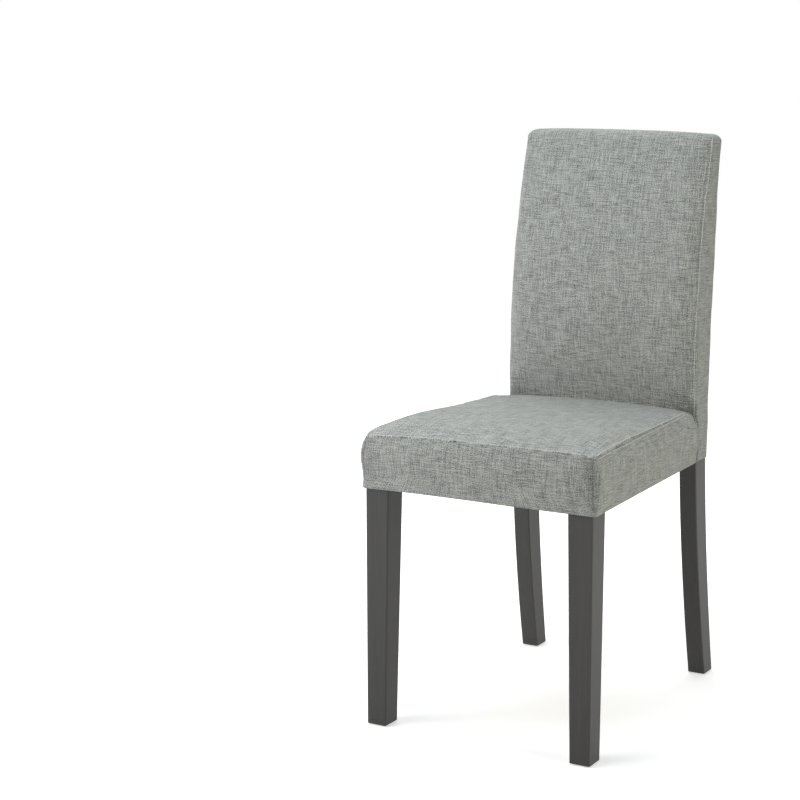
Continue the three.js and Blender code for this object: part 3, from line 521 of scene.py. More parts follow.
linen = makeLinen("greyLinen", linenSettings)
thread = makeGrained("paleThread", (0.58, 0.60, 0.57), (0.78, 0.79, 0.74), (1500, 1500, 1500), (0.8, 0.9), specular=0.2)
lacquer = makeGrained("charcoalLacquer", (0.037, 0.0365, 0.034), (0.0525, 0.051, 0.0475), (420, 420, 9),
                      (0.44, 0.54), specular=0.34, depth=0.00012)
finishes = {
    "frame_wood": makeGrained("pineFrame", (0.46, 0.31, 0.17), (0.62, 0.45, 0.27), (12, 90, 90), (0.66, 0.76)),
    "plywood": makeGrained("plywoodDeck", (0.45, 0.3, 0.15), (0.6, 0.43, 0.24), (9, 80, 80), (0.7, 0.8)),
    "board": makeGrained("hardboard", (0.17, 0.1, 0.055), (0.26, 0.17, 0.1), (300, 300, 300), (0.76, 0.86)),
    "dust_cloth": makeGrained("dustCloth", (0.012, 0.012, 0.013), (0.03, 0.03, 0.032), (500, 500, 500), (0.9, 1.0)),
    "steel_hardware": makeGrained("zincSteel", (0.42, 0.43, 0.45), (0.56, 0.57, 0.58), (200, 200, 200), (0.3, 0.4), 0.9),
    "brass_inserts": makeGrained("brassInsert", (0.4, 0.28, 0.09), (0.52, 0.38, 0.13), (200, 200, 200), (0.3, 0.4), 0.9),
    "glides": makeGrained("nylonGlide", (0.012, 0.012, 0.013), (0.022, 0.022, 0.024), (150, 150, 150), (0.45, 0.55)),
    "foam": makeGrained("foam", (0.7, 0.62, 0.42), (0.8, 0.73, 0.53), (700, 700, 700), (0.85, 0.95)),
    "leg_lacquer": lacquer,
}
for row in frame["record"]["subparts"]:
    finish = finishes.get(row["material_slot"])
    if finish:
        cadNodes[row["node"]].data.materials.clear()
        cadNodes[row["node"]].data.materials.append(finish)
print("materials ready")


# Seat

seat = {
    "hem": 397.5, "front": -4.5, "rear": 465.9, "halfFront": 207.3, "halfRear": 181.2,
    "hemCorner": 9.0, "corner": (26.0, 10.0), "cornerRise": 0.32, "rearCorner": 5.5,
    "seamFront": 91.0, "seamRear": 96.0, "crown": 98.0,
    "droop": (12.0, 2.5), "droopPower": (2.6, 8.0), "droopReach": 20.0,
    "swell": 10.0, "swellAt": 130.0, "sink": 4.5, "edgeInset": 4.0, "edgeReach": 12.0,
    "topStretch": 0.6,
    "rollDepth": 68.0, "rollHeight": 46.0,
    "sidePower": 14.0, "frontPower": 18.0, "rearPowers": (52.0, 32.0),
    "bulge": 3.8, "bulgePower": 2.0,
    "wall": (3.7, 3.0), "hemLift": 1.5, "hemRoll": 2.6, "turnIn": (5.8, 3.6), "turnInThick": 0.7, "deckTop": 454.7,
    "strip": 14.0, "groove": 0.8, "shoulder": 0.35, "stitchOffset": 2.5,
    "pucker": 0.4, "puckerLength": 17.0, "wave": 0.5, "waveLength": 70.0, "cap": 2.4, "boxingShare": 0.4,
}
seatTurns = np.array([3, 9, 15, 21, 26, 30, 33.5, 36.5, 39, 41, 43, 45, 47, 49, 51.5, 55, 60, 67, 75, 83.0])
rearTurns = np.array([15, 30, 45, 60, 75.0])


def seatHalf(y):
    return mix(seat["halfFront"], seat["halfRear"], (y - seat["front"]) / (seat["rear"] - seat["front"]))


# Height of the top seam over a place: mean rise from front to rear, less the droop at the left and
# right front corners, less the quarter ellipse that rolls down at the rear
def seamHeight(x, y):
    across = np.clip(np.abs(x) / seatHalf(y), 0, 1)
    back = np.clip((y - seat["front"]) / (seat["rear"] - seat["front"]), 0, 1)
    depth, power = (np.where(x < 0, *seat[key]) for key in ("droop", "droopPower"))
    droop = depth * across ** power * np.exp(-(y - seat["front"]) / seat["droopReach"])
    roll = np.clip((y - seat["rear"] + seat["rollDepth"]) / seat["rollDepth"], 0, 1)
    fall = seat["rollHeight"] * (1 - np.sqrt(1 - roll ** 2))
    return seat["hem"] + mix(seat["seamFront"], seat["seamRear"], back) - droop - fall


# Height of the top: the seam's height, and above it a crown that levels out as one less a high power
# of the distance from each edge. The crown swells in front of the middle and sinks at the rear sides.
def seatTop(x, y):
    across = np.clip(np.abs(x) / seatHalf(y), 0, 1)
    back = np.clip((y - seat["front"]) / (seat["rear"] - seat["front"]), 0, 1)
    rearPower = mix(*seat["rearPowers"], across ** 2)
    level = (1 - across ** seat["sidePower"]) * (1 - (1 - back) ** seat["frontPower"]) * (1 - back ** rearPower)
    low = seamHeight(x, y)
    crown = seat["crown"] + seat["swell"] * bell(y - seat["swellAt"], seat["swellAt"])
    crown = crown - seat["sink"] * across ** 2 * smooth(y, 250, 430)
    return low + (seat["hem"] + crown - low) * level


# Outlines of the seat in plan, one for each inset and corner size
def seatOutline(insetX, insetY, cornerX, cornerY, rearCorner, columns):
    insetX, insetY, cornerX, cornerY, rearCorner = np.broadcast_arrays(
        *(np.atleast_1d(np.asarray(value, float)) for value in (insetX, insetY, cornerX, cornerY, rearCorner)))
    x, y, facing = sectionRows(
        seat["halfFront"] - insetX, seat["front"] + insetY, seat["rear"] - insetY,
        (cornerX, cornerY), rearCorner, columns)
    return x * seatHalf(y) / seat["halfFront"], y, facing


# Share from 0 at the top seams to 1 inside them
def insideShare(surface):
    across = np.clip(np.abs(surface[..., 0]) / seatHalf(surface[..., 1]), 0, 1)
    back = np.clip((surface[..., 1] - seat["front"]) / (seat["rear"] - seat["front"]), 0, 1)
    return (1 - across ** 12) * (1 - (1 - back) ** 20) * smooth(1 - back, 0, 0.2)


# Depth of a seam at a distance across it: a groove with a low shoulder on each side
def seamProfile(distance, groove, shoulder, offset=3.2):
    return shoulder * bell(np.abs(distance) - offset, 1.6) - groove * bell(distance, 0.9)


def buildSeat():
    sideRun = crowded(149, (0.0,), 0.03, 1.5)
    columns, counts = sectionColumns(
        np.linspace(0, 1, 135), sideRun, np.linspace(0, 1, 147), seatTurns, rearTurns)
    across, along = counts[0], counts[1]
    total = len(columns[0])
    print("seat grid", counts)
    inset = seat["edgeInset"]
    x, y, facing = (value[0] for value in seatOutline(inset, inset, *seat["corner"], seat["rearCorner"], columns))
    seam = seamHeight(x, y)
    hem = seat["hem"]

    # Boxing: rows from the hem to the seam, pushed outwards by a sine of the height's power, and leaning
    # in below the seam. Its front corners open from a tight round at the hem to a wide ellipse.
    nearSeam = 1 - np.array([13, 10.5, 8.4, 6.7, 5.3, 4.2, 3.3, 2.5, 1.8, 1.2, 0.6, 0]) / (seat["seamFront"] - 0.5)
    shares = np.concatenate([np.linspace(0.036, 0.82, 26), nearSeam])
    opening = smooth(shares, 0, seat["cornerRise"])
    cornerX = mix(seat["hemCorner"], seat["corner"][0], opening)
    cornerY = mix(seat["hemCorner"], seat["corner"][1], opening)
    leanIn = inset * np.exp(-(1 - shares) * seat["seamFront"] / seat["edgeReach"])
    boxX, boxY, boxFacing = seatOutline(leanIn, leanIn, cornerX, cornerY, seat["rearCorner"], columns)
    free = np.clip(1 - boxFacing[..., 1], 0, 1)
    push = seat["bulge"] * np.sin(math.pi * shares ** seat["bulgePower"])[:, None] * free
    boxing = np.stack([boxX + boxFacing[..., 0] * push, boxY + boxFacing[..., 1] * push,
                       mix(hem, seam[None], shares[:, None])], -1)

    # Top strip: rows that run in from the seam
    insets = np.array([0.6, 1.2, 1.8, 2.5, 3.3, 4.2, 5.3, 6.7, 8.4, 10.5, 14]) / seat["strip"]
    innerX, innerY, _ = seatOutline(seat["strip"], seat["strip"], 20.0, 9.0, seat["rearCorner"], columns)
    strip = np.stack([mix(x, innerX, insets[:, None]), mix(y, innerY, insets[:, None])], -1)
    strip = np.concatenate([strip, seatTop(strip[..., :1], strip[..., 1:])], -1)
    strip[..., 2] = np.maximum(strip[..., 2], seam)

    # Hem: rolled under in a quarter circle, turned in below the rails, and back up inside the wall
    roll = seat["hemRoll"]
    turns = np.radians([90, 67.5, 45, 22.5])
    hemX, hemY, hemFacing = (value[0] for value in seatOutline(
        0, 0, seat["hemCorner"], seat["hemCorner"], seat["rearCorner"], columns))
    curl = []
    for turn in turns:
        inset = roll * (1 - math.cos(turn))
        height = np.full(total, hem + roll * (1 - math.sin(turn)))
        curl.append(np.stack([hemX - hemFacing[:, 0] * inset, hemY - hemFacing[:, 1] * inset, height], -1))
    lip = [(*seat["turnIn"], hem), (*seat["turnIn"], hem + seat["turnInThick"]),
           (*seat["wall"], hem + 2 * seat["turnInThick"]), (*seat["wall"], seat["deckTop"])]
    inner = []
    for insetX, insetY, height in lip[::-1]:
        lipX, lipY, _ = seatOutline(
            insetX, insetY, seat["hemCorner"] - insetX, seat["hemCorner"] - insetY, 2.0, columns)
        inner.append(np.stack([lipX[0], lipY[0], np.full(total, height)], -1))
    wall = np.concatenate([inner, curl, boxing, strip])
    lift = seat["hemLift"] * bell(wall[..., 0] + 70, 110) * np.clip(-hemFacing[:, 1], 0, 1)
    wall[..., 2] += lift * np.clip((seam - wall[..., 2]) / (seam - hem), 0, 1)
    firstBoxing = len(inner) + len(curl)
    seamRow = firstBoxing + len(boxing) - 1
    patch = patchInside(wall[-1], across, along)
    patch[1:-1, 1:-1, 2] = seatTop(patch[1:-1, 1:-1, 0], patch[1:-1, 1:-1, 1])

    # Distances over the cloth: round the edge, and up across the top seam
    around = runLength(np.concatenate([boxing[20], boxing[20, :1]]))
    rise = runLength(wall[:, across // 2])
    rise -= rise[seamRow]
    edge = around[:-1]
    fromCorner = np.min([edge, around[-1] - edge, np.abs(edge - edge[across])], axis=0)

    rows = np.concatenate([firstBoxing + np.arange(0, 29, 4), seamRow + np.array([0, 8, 11])])
    heldColumns = np.isin(np.arange(total), (0, across))
    wallMove, topMove = clothMovement(wall, patch, rows, [firstBoxing, seamRow], heldColumns, seat["cap"])
    up = np.clip(1 - rise / rise[firstBoxing], 0, 1)[:, None]
    hold = smooth(up, 0, 0.15) * smooth(1 - up, 0, 0.1) * (1 - bell(fromCorner, 7.0)) * np.clip(1 - facing[:, 1], 0, 1)
    out = wallMove(*np.broadcast_arrays(edge[None] / around[-1], up)) * hold * seat["boxingShare"]
    wall += rowNormals(wall) * out[..., None]
    for surface in (wall[seamRow:], patch):
        surface[..., 2] += topMove(surface) * insideShare(surface)

    # Seams, puckers beside them, and slow waves
    gap = np.broadcast_to(rise[:, None], (len(wall), total))
    frontShare = np.clip(-facing[:, 1], 0, 1)[None]
    depth = seamProfile(gap, seat["groove"] * mix(1, 0.3, frontShare), seat["shoulder"], seat["stitchOffset"])
    puckers = ripples(x[None], y[None] + gap * 0.35, seat["puckerLength"], 11)
    depth += seat["pucker"] * puckers * bell(gap, 8.0) * (1 - bell(gap, 1.0))
    onBoxing = smooth(np.arange(len(wall))[:, None], firstBoxing, firstBoxing + 4) * (gap < 0)
    cornerDepth = seamProfile(fromCorner, 1.0, 0.4, 3.4)[None] - 0.5 * bell(fromCorner, 4.0)[None]
    depth *= 1 - 0.9 * smooth(y, seat["rear"] - seat["rollDepth"] - 60, seat["rear"] - 45)[None]
    depth += cornerDepth * onBoxing * smooth(-gap, 2.0, 14.0)
    depth += seat["wave"] * ripples(x[None], y[None] + gap, seat["waveLength"], 5) * onBoxing * smooth(-gap, 3, 25)
    depth *= np.clip(1.3 - facing[:, 1], 0, 1)[None] * (np.arange(len(wall)) >= firstBoxing)[:, None]
    wall += rowNormals(wall) * depth[..., None]
    for surface in (wall[seamRow:-1], patch):
        slow = ripples(surface[..., 0], surface[..., 1], seat["waveLength"], 9)
        surface[..., 2] += seat["wave"] * slow * insideShare(surface)
    wall[-1] = np.concatenate([patch[0, :-1], patch[:-1, -1], patch[-1, :0:-1], patch[:0:-1, 0]])

    # Cloth coordinates: each boxing panel and the top starts its own run of weave
    wallCloth = corners4(np.stack(np.broadcast_arrays(around[None], rise[:, None]), -1))
    wallCloth[:, across:, :, 0] += 900.0
    wallCloth[seamRow:] = corners4(closedRows(wall[seamRow:])[..., :2] * [1.0, seat["topStretch"]] + [4000.0, 0])
    patchCloth = corners4(patch[..., :2] * [1.0, seat["topStretch"]] + [4000.0, 0])

    # Painted shade: the cloth is darkened in a thin line along the seams, in a band on the front side of the corner
    # seams where the front turns away from the lamps, and in the creases at the rear corners
    ahead = (0.13 * bell(fromCorner, 12.0) + 0.09 * bell(fromCorner, 42.0)) * frontShare[0] ** 0.5
    fromRear = np.min([np.abs(edge - edge[k]) for k in (across + along, 2 * across + along)], axis=0)
    crease = 0.3 * bell(fromRear, 5.0)
    shade = mix(0.05, 0.0, frontShare) * bell(gap, 1.4) + onBoxing * (ahead + 0.10 * bell(fromCorner, 1.8) + crease)[None]
    # The painted shade is only on the wall; the top patch and the floor point get none
    shade = np.concatenate([shade.reshape(-1), np.zeros((patch.shape[0] - 2) * (patch.shape[1] - 2) + 1)])
    piece = makeForm("seatCushion", wall, patch, wallCloth, patchCloth, shade)
    piece.data.materials.append(linen)

    normals = rowNormals(wall)
    below, above = (int(np.argmin(np.abs(rise - side * seat["stitchOffset"]))) for side in (-1, 1))
    sides = [np.arange(across + 10, across + along - 16), np.arange(2 * across + along + 16, total - 9)]
    runs = [(above, np.arange(9, across - 8))] + [(row, side) for side in sides for row in (below, above)]
    return piece, [(wall[row, side], normals[row, side]) for row, side in runs]


seatCushion, seatStitches = buildSeat()
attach(seatCushion, "root")
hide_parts("seat_cover", "seat_foam")
print("seat ready", len(seatCushion.data.polygons))


# Back

back = {
    "height": 960.0, "hem": 397.5, "waist": 430.0, "rearSpread": 354.0, "postFront": 470.0,
    "topRake": 32.0, "depths": (46.5, 27.0), "topTaper": 2.5,
    "standoff": 2.5, "padAtSeat": 19.0, "padAtTop": 9.0, "padSwell": 29.0, "padSwellPower": 0.9,
    "crown": 4.5, "edgeFall": 6.5, "edgeReach": (40.0, 4.0), "widen": 0.9, "lean": (0.8, 2.2), "tilt": 2.4,
    "cornerShare": 0.65, "cornerAllowance": 3.0, "rearCorner": 5.0, "topRoll": 16.0,
    "shoulderDrop": 2.5, "seatGap": 1.6, "wall": 2.0, "hemRoll": 3.0, "topDome": 0.8,
    "seamHeights": (397.5, 530, 700, 760, 880, 947), "seamTurns": (45, 46, 33, 35, 42, 66),
    "groove": 0.7, "shoulder": 0.3, "stitchOffset": 2.8, "rearSeamInset": 13.0, "rearSeamDrop": 23.0,
    "pucker": 0.35, "puckerLength": 16.0, "wave": 0.6, "waveLength": 85.0, "cap": 2.0,
}
backTurns = np.array([3, 8, 13.5, 19, 24, 28.5, 32.5, 35.8, 38.2, 40, 41.8, 45, 49, 54, 60, 67, 75, 83.0])
seamTurn = 40.0


def aboveWaist(z):
    return np.clip((z - back["waist"]) / (back["height"] - back["waist"]), 0, 1)


def postRear(z):
    return back["postFront"] + back["depths"][0] + back["topRake"] * aboveWaist(z) ** 2


def postFront(z):
    return postRear(z) - mix(back["depths"][0], back["depths"][1], aboveWaist(z))


# How far back the seat's rolled edge reaches at a height
def seatReach(z):
    edge = seat["hem"] + seat["seamRear"] - seat["rollHeight"]
    climb = np.clip((z - edge) / (fullCrown - edge), 0, 1)
    inwards = 1 - (1 - climb) ** (2 / seat["rearPowers"][1])
    return mix(seat["rear"], (seat["front"] + seat["rear"]) / 2, inwards)


# Front of the pad: the posts' line, less a thickness that runs from the seat's to the top's plus half
# a sine wave of the height's power. Below the seat's crown it keeps behind the seat.
fullCrown = seat["hem"] + 100.0


def padFront(z):
    share = np.clip((z - fullCrown) / (back["height"] - fullCrown), 0, 1)
    swell = back["padSwell"] * np.sin(math.pi * share ** back["padSwellPower"])
    padded = postFront(np.maximum(z, back["waist"])) - mix(back["padAtSeat"], back["padAtTop"], share) - swell
    flat = back["postFront"] - back["standoff"]
    low = np.minimum(np.maximum(padded, seatReach(z) + back["seatGap"]), flat)
    return np.where(z > fullCrown, padded, low)


# Corner angles of every row, moved along the arc so that the column of the side seam meets its turn
def turnedColumns(columns, z):
    corner, following, share, angle = columns
    wanted = np.interp(z, back["seamHeights"], back["seamTurns"])[:, None]
    degrees = np.degrees(angle)
    turn = np.where(corner == 0, (degrees + 180) % 360, -degrees)
    moved = np.where(turn < seamTurn, turn * wanted / seamTurn, 90 - (90 - turn) * (90 - wanted) / (90 - seamTurn))
    isFront = (corner == following) & (corner < 2)
    degrees = np.where(isFront, np.where(corner == 0, moved - 180, -moved), degrees)
    return corner, following, share, np.radians(degrees)


def buildBack():
    columns, counts = sectionColumns(
        np.linspace(0, 1, 107), np.linspace(0, 1, 18), crowded(114, (0.034, 0.966), 0.012, 5.0), backTurns, rearTurns)
    total = len(columns[0])
    print("back grid", counts)
    height, roll = back["height"], back["topRoll"]
    body = np.concatenate([np.linspace(back["hem"] + back["hemRoll"], fullCrown, 22)[:-1],
                           mix(fullCrown, height - roll, crowded(88, (0.983,), 0.02, 5.0))])
    over = np.radians(np.linspace(0, 90, 13)[1:])
    z = np.concatenate([body, height - roll + roll * np.sin(over)])
    inset = np.concatenate([np.zeros(len(body)), roll * (1 - np.cos(over))])
    drop = np.concatenate([np.zeros(len(body)), back["shoulderDrop"] * np.linspace(0.1, 1, len(over))])
    half = back["rearSpread"] / 2 - back["topTaper"] * aboveWaist(z) + back["standoff"] - inset
    half = half + back["widen"] * smooth(z, 480, 560) * smooth(height - z, 100, 240)
    lean = aboveWaist(z) ** 2
    front = padFront(z) + inset + back["lean"][1] * lean
    rear = postRear(z) + back["standoff"] - inset + back["lean"][1] * lean
    padding = postFront(np.maximum(z, back["waist"])) - padFront(z)
    rearCorner = back["rearCorner"] - inset * 2.5 / roll
    corner = np.minimum(padding * back["cornerShare"] + back["cornerAllowance"], rear - front - rearCorner - 0.5)
    x, y, facing = sectionRows(half, front, rear, (corner, corner), rearCorner, turnedColumns(columns, z))
    flat = (half - corner)[:, None]
    onFront = np.clip(-facing[..., 1], 0, 1) ** 8
    crowned = back["crown"] * (1 - np.clip(np.abs(x) / flat, 0, 1) ** 2) * onFront
    fall = back["edgeFall"] * smooth(np.abs(x) - half[:, None], -back["edgeReach"][0], -back["edgeReach"][1])
    free = (smooth(z, fullCrown, fullCrown + 80) * smooth(height - z, 0, 60))[:, None]
    y = y + (fall * np.clip(-facing[..., 1], 0, 1) ** 2 - crowned) * free
    across = x / half[:, None]
    tilt = -back["tilt"] * across * smooth(z, height - 90, height)[:, None]
    x = x + back["lean"][0] * lean[:, None]
    rows = np.stack([x, y, z[:, None] + tilt - drop[:, None] * np.abs(across) ** 3], -1)

    # Hem: rolled under in a quarter circle and back up inside
    outer, outward = rows[0], facing[0]
    inner = []
    for inset, rise in ((back["wall"], 60.0), (back["wall"], 1.0), (back["wall"] + 1.2, 0.6), (back["wall"] + 1.2, 0.0)):
        inner.append(np.stack([outer[:, 0] - outward[:, 0] * inset, outer[:, 1] - outward[:, 1] * inset,
                               np.full(total, back["hem"] + rise)], -1))
    for turn in np.radians([90, 60, 30]):
        inset = back["hemRoll"] * (1 - math.cos(turn))
        level = back["hem"] + back["hemRoll"] * (1 - math.sin(turn))
        inner.append(np.stack([outer[:, 0] - outward[:, 0] * inset, outer[:, 1] - outward[:, 1] * inset,
                               np.full(total, level)], -1))
    wall = np.concatenate([inner, rows])
    firstRow = len(inner)
    across, along = counts[0], counts[1]
    patch = patchInside(wall[-1], across, along)
    spread = np.abs(patch[..., 0]) / np.abs(patch[..., 0]).max()
    middle = (patch[..., 1].max() + patch[..., 1].min()) / 2
    deep = np.clip(np.abs(patch[..., 1] - middle) / (patch[..., 1].max() - middle), 0, 1)
    dome = back["topDome"] * (1 - deep ** 2) * (1 - spread ** 6)
    patch[1:-1, 1:-1, 2] += dome[1:-1, 1:-1]

    # Distances over the cloth: across from the middle of the front, and up
    closed = closedRows(wall)
    steps = np.linalg.norm(np.diff(closed[..., :2], axis=1), axis=2)
    around = np.concatenate([np.zeros((len(wall), 1)), np.cumsum(steps, 1)], 1)
    around -= around[:, across // 2][:, None]
    up = runLength(wall[:, across // 2])
    heights = wall[:, across // 2, 2]
    turns = np.degrees(columns[3])
    seamColumns = [int(np.argmin(np.abs(turns - want) + 999 * (columns[0] != columns[1]))) for want in (seamTurn - 180, -seamTurn)]
    edge = around[:, :-1]
    fromSide = np.min([np.abs(edge - edge[:, k][:, None]) for k in seamColumns], axis=0)

    picked = np.unique(np.concatenate([np.arange(firstRow, len(wall) - 14, 6), [len(wall) - 10, len(wall) - 5, len(wall) - 1]]))
    heldColumns = np.isin(np.arange(total) // 4, [k // 4 for k in seamColumns]) | (facing[0][:, 1] > 0.2)
    wallMove, _ = clothMovement(wall, patch, picked, [firstRow, len(wall) - 1], heldColumns, back["cap"])
    share = (np.cumsum(steps, 1) - steps) / steps.sum(1)[:, None]
    climb = np.clip((heights - heights[firstRow]) / (heights[-1] - heights[firstRow]), 0, 1)[:, None]
    hold = smooth(climb, 0.2, 0.3) * smooth(1 - climb, 0, 0.08) * (1 - bell(fromSide, 8.0))
    hold = hold * np.clip(-rowNormals(wall)[..., 1], 0, 1)
    out = wallMove(*np.broadcast_arrays(share, climb)) * hold
    wall += rowNormals(wall) * out[..., None]

    # Side seams on the front corners, closing seams on the rear, puckers and slow waves
    outwards = rowNormals(wall)
    level = np.broadcast_to(heights[:, None], edge.shape)
    x = wall[..., 0]
    isRear = (outwards[..., 1] > 0.7) & (np.arange(len(wall)) >= firstRow)[:, None]
    rearSide = np.abs(half[0] - back["rearSeamInset"] - np.abs(x))
    rearTop = np.abs(level - (height - back["rearSeamDrop"]))
    belowTop = smooth(height - back["rearSeamDrop"] + 1.0 - level, 0, 1)
    betweenSides = smooth(half[0] - back["rearSeamInset"] + 1.0 - np.abs(x), 0, 1)
    depth = seamProfile(fromSide, back["groove"], back["shoulder"]) * smooth(height - level, 1, 12)
    depth += seamProfile(rearSide, 1.0, 0.5) * isRear * belowTop
    depth += seamProfile(rearTop, 1.0, 0.5) * isRear * betweenSides
    puckers = ripples(x * 0.3, level, back["puckerLength"], 21)
    beside = bell(fromSide, 9.0) + isRear * (bell(rearSide, 8.0) * belowTop + bell(rearTop, 8.0) * betweenSides)
    depth += back["pucker"] * puckers * np.clip(beside, 0, 1)
    depth += back["wave"] * ripples(x, level, back["waveLength"], 4) * (1 - np.clip(beside, 0, 1)) * smooth(height - level, 4, 40)
    depth *= smooth(np.arange(len(wall))[:, None], firstRow, firstRow + 4) * smooth(len(wall) - 1 - np.arange(len(wall))[:, None], 0, 4)
    depth *= np.where((level < fullCrown) & (outwards[..., 1] < -0.5), 0, 1)
    wall += outwards * depth[..., None]

    # Painted shade: the cloth is darkened in a thin line along the seams, where it meets the seat, in a band beside the
    # right front seam, and in the crease behind the seat's side
    onFront = np.clip(-outwards[..., 1], 0, 1)
    above = np.maximum(level - fullCrown + 6, 0)
    aside = np.clip(np.abs(x) / half[0], 0, 1) ** 2
    contact = (0.22 + 0.2 * aside) * np.exp(-above / 9) + (0.1 + 0.18 * aside) * aside * np.exp(-above / 38)
    crease = (0.5 * bell(fromSide, 5.5) + 0.06 * bell(fromSide, 12.0)) * smooth(fullCrown - 4 - level, 0, 14)
    band = 0.10 * bell(fromSide - 10, 14.0) * (x > 0)
    shade = 0.09 * bell(fromSide, 1.6) + (band + contact) * onFront + crease
    shade = np.concatenate([shade.reshape(-1), np.zeros((patch.shape[0] - 2) * (patch.shape[1] - 2) + 1)])
    wallCloth = corners4(np.stack(np.broadcast_arrays(around, up[:, None]), -1))
    patchCloth = corners4(patch[..., :2] + [6000.0, 0])
    piece = makeForm("backPad", wall, patch, wallCloth, patchCloth, shade)
    piece.data.materials.append(linen)

    normals = rowNormals(wall)
    low = int(np.argmin(np.abs(heights - fullCrown + 60)))
    high = int(np.argmin(np.abs(heights - (height - 8))))
    runs = []
    for k, side in zip(seamColumns, (-1, 1)):
        span = slice(low, high)
        offset = edge[span] - edge[span, k][:, None]
        place = np.argmin(np.abs(offset - side * back["stitchOffset"]), 1)
        picked = np.arange(low, high)
        runs.append((wall[picked, place], normals[picked, place]))
    return piece, runs


backPad, backStitches = buildBack()
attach(backPad, "root")
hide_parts("back_cover", "back_foam")
print("back ready", len(backPad.data.polygons))


# Stitches: small round-ended bars along the seams, half sunk in the cloth. Each one is four rings
# round its own forward direction.
stitching = {"pitch": 4.4, "length": 3.2, "radius": 0.55, "sides": 6, "rings": ((-0.5, 0.3), (-0.38, 1), (0.38, 1), (0.5, 0.3))}


def stitchPlaces(line, normals):
    run = runLength(line)
    count = max(int(run[-1] / stitching["pitch"]), 1)
    places = (np.arange(count) + 0.5) * run[-1] / count
    at = lambda rows, where: np.stack([np.interp(where, run, rows[:, k]) for k in range(3)], 1)
    forward = unit(at(line, places + 1.5) - at(line, places - 1.5))
    sideways = unit(np.cross(at(normals, places), forward))
    return np.stack([at(line, places), forward, sideways, np.cross(forward, sideways)], 1)


def buildStitches(runs):
    frames = np.concatenate([stitchPlaces(*run) for run in runs])
    sides = stitching["sides"]
    angle = np.arange(sides) * 2 * math.pi / sides
    shape = np.array([[(share * stitching["length"], *(stitching["radius"] * size * np.array([math.cos(a), math.sin(a)])))
                       for a in angle] for share, size in stitching["rings"]]).reshape(-1, 3)
    points = frames[:, None, 0] + np.einsum("pk,nkc->npc", shape, frames[:, 1:])
    ring = np.arange(len(shape)).reshape(-1, sides)
    caps = [[0, 5, 4, 3], [0, 3, 2, 1]], [[0, 1, 2, 3], [0, 3, 4, 5]]
    quads = np.concatenate([gridFaces(closedRows(ring)), ring[0][np.array(caps[0])], ring[-1][np.array(caps[1])]])
    quads = quads[None] + np.arange(len(frames))[:, None, None] * len(shape)
    piece = makePiece("seamStitching", points.reshape(-1, 3), quads.reshape(-1, 4))
    piece.data.materials.append(thread)
    print("stitches", len(frames))
    return piece


seamStitching = buildStitches(seatStitches + backStitches)
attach(seamStitching, "root")


# Stage

stage = {"floor": 12.0, "white": 1.0, "clear": 1.3}


def makeFloor():
    mesh = bpy.data.meshes.new("studioFloor")
    reach = stage["floor"]
    mesh.from_pydata([(-reach, -reach, 0), (reach, -reach, 0), (reach, reach, 0), (-reach, reach, 0)], [], [(0, 1, 2, 3)])
    floor = bpy.data.objects.new("studioFloor", mesh)
    scene.collection.objects.link(floor)
    material, nodes, links = newMaterial("whiteFloor")
    shader = nodes["Principled BSDF"]
    shader.inputs["Base Color"].default_value = (0.8, 0.8, 0.8, 1)
    shader.inputs["Roughness"].default_value = 0.9
    shader.inputs["Specular IOR Level"].default_value = 0.0
    rays = nodes.new("ShaderNodeLightPath")
    glow = nodes.new("ShaderNodeEmission")
    seen = maths(nodes, links, "MAXIMUM", rays.outputs["Is Camera Ray"], rays.outputs["Is Glossy Ray"])
    seen = maths(nodes, links, "MAXIMUM", seen, rays.outputs["Is Transmission Ray"])
    place = nodes.new("ShaderNodeTexCoord").outputs["Object"]
    distance = nodes.new("ShaderNodeVectorMath")
    distance.operation = "LENGTH"
    links.new(place, distance.inputs[0])
    far = remapped(nodes, links, distance.outputs["Value"], 0.5, stage["clear"], 0.55, 1.0)
    links.new(maths(nodes, links, "MULTIPLY", seen, far), glow.inputs["Strength"])
    both = nodes.new("ShaderNodeAddShader")
    links.new(shader.outputs[0], both.inputs[0])
    links.new(glow.outputs[0], both.inputs[1])
    links.new(both.outputs[0], nodes["Material Output"].inputs["Surface"])
    mesh.materials.append(material)


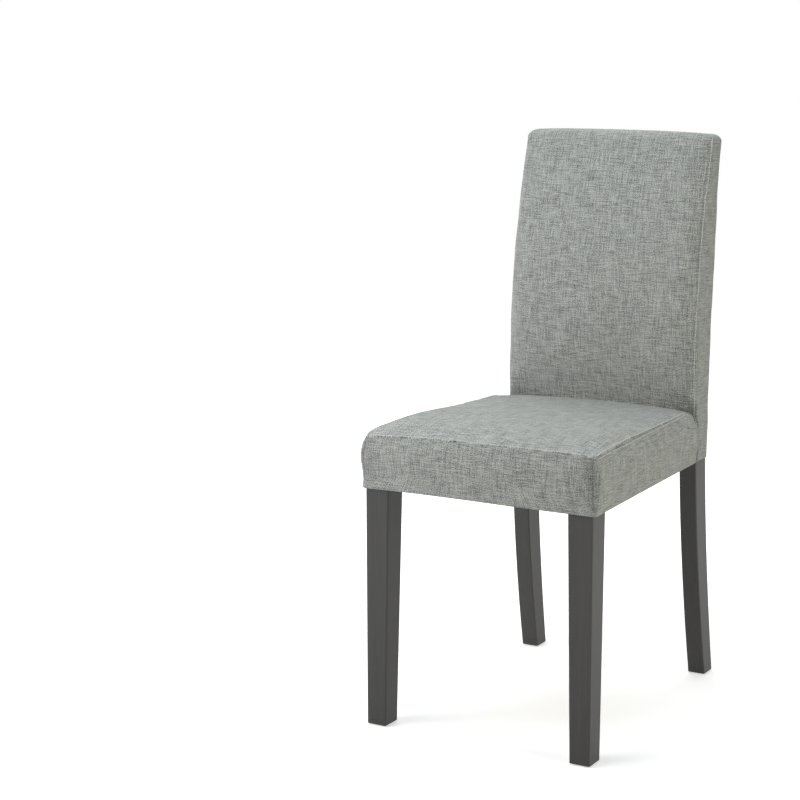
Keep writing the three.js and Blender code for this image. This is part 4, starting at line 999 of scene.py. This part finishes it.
def makeWorld():
    world = bpy.data.worlds.new("studio")
    scene.world = world
    world.use_nodes = True
    nodes, links = world.node_tree.nodes, world.node_tree.links
    rays = nodes.new("ShaderNodeLightPath")
    seen = maths(nodes, links, "MAXIMUM", rays.outputs["Is Camera Ray"], rays.outputs["Is Glossy Ray"])
    seen = maths(nodes, links, "MAXIMUM", seen, rays.outputs["Is Transmission Ray"])
    plain = nodes["Background"]
    plain.inputs["Color"].default_value = (1, 1, 1, 1)
    plain.inputs["Strength"].default_value = 0.02
    white = nodes.new("ShaderNodeBackground")
    white.inputs["Color"].default_value = (1, 1, 1, 1)
    white.inputs["Strength"].default_value = 1.0
    mixer = nodes.new("ShaderNodeMixShader")
    links.new(seen, mixer.inputs[0])
    links.new(plain.outputs[0], mixer.inputs[1])
    links.new(white.outputs[0], mixer.inputs[2])
    links.new(mixer.outputs[0], nodes["World Output"].inputs["Surface"])


# Each softbox: name, azimuth and elevation in degrees, distance and size in metres, watts, colour
softboxes = [
    ("keySoftbox", -35, 35, 2.6, (1.6, 2.0), 37.5, (1.10, 1.05, 0.84)),
    ("nearSoftbox", -50, 10, 1.4, (0.8, 1.2), 6, (0.90, 0.93, 1.17)),
    ("sideSoftbox", 82, 6, 2.2, (1.0, 2.0), 26, (1.06, 1.025, 0.91)),
    ("rearTopSoftbox", -160, 58, 2.4, (2.0, 2.0), 40, (1.0, 1.02, 0.98)),
    ("frontTopSoftbox", -15, 72, 2.4, (2.0, 2.0), 14.5, (0.74, 0.94, 1.33)),
]


def addSoftbox(name, azimuth, elevation, distance, size, power, colour, target=(0, 0, 0.5)):
    lamp = bpy.data.lights.new(name, "AREA")
    lamp.shape = "RECTANGLE"
    lamp.size, lamp.size_y = size
    lamp.energy = power
    lamp.color = colour
    holder = bpy.data.objects.new(name, lamp)
    a, e = math.radians(azimuth), math.radians(elevation)
    toLamp = np.array([math.sin(a) * math.cos(e), -math.cos(a) * math.cos(e), math.sin(e)])
    holder.location = np.array(target) + toLamp * distance
    holder.rotation_euler = (math.radians(90 - elevation), 0, a)
    holder.visible_camera = False
    scene.collection.objects.link(holder)


def makeCamera():
    lens = bpy.data.cameras.new("camera")
    lens.sensor_fit = "HORIZONTAL"
    lens.sensor_width = 36
    lens.lens = 84.07
    lens.clip_end = 60
    camera = bpy.data.objects.new("camera", lens)
    camera.location = (1.3382, frontOfLegs - 2.504, 1.0332)
    camera.rotation_euler = (math.radians(80.49), math.radians(-0.079), math.radians(30.503))
    scene.collection.objects.link(camera)
    scene.camera = camera


makeFloor()
makeWorld()
for row in softboxes:
    addSoftbox(*row)
makeCamera()
scene.view_settings.view_transform = "Standard"
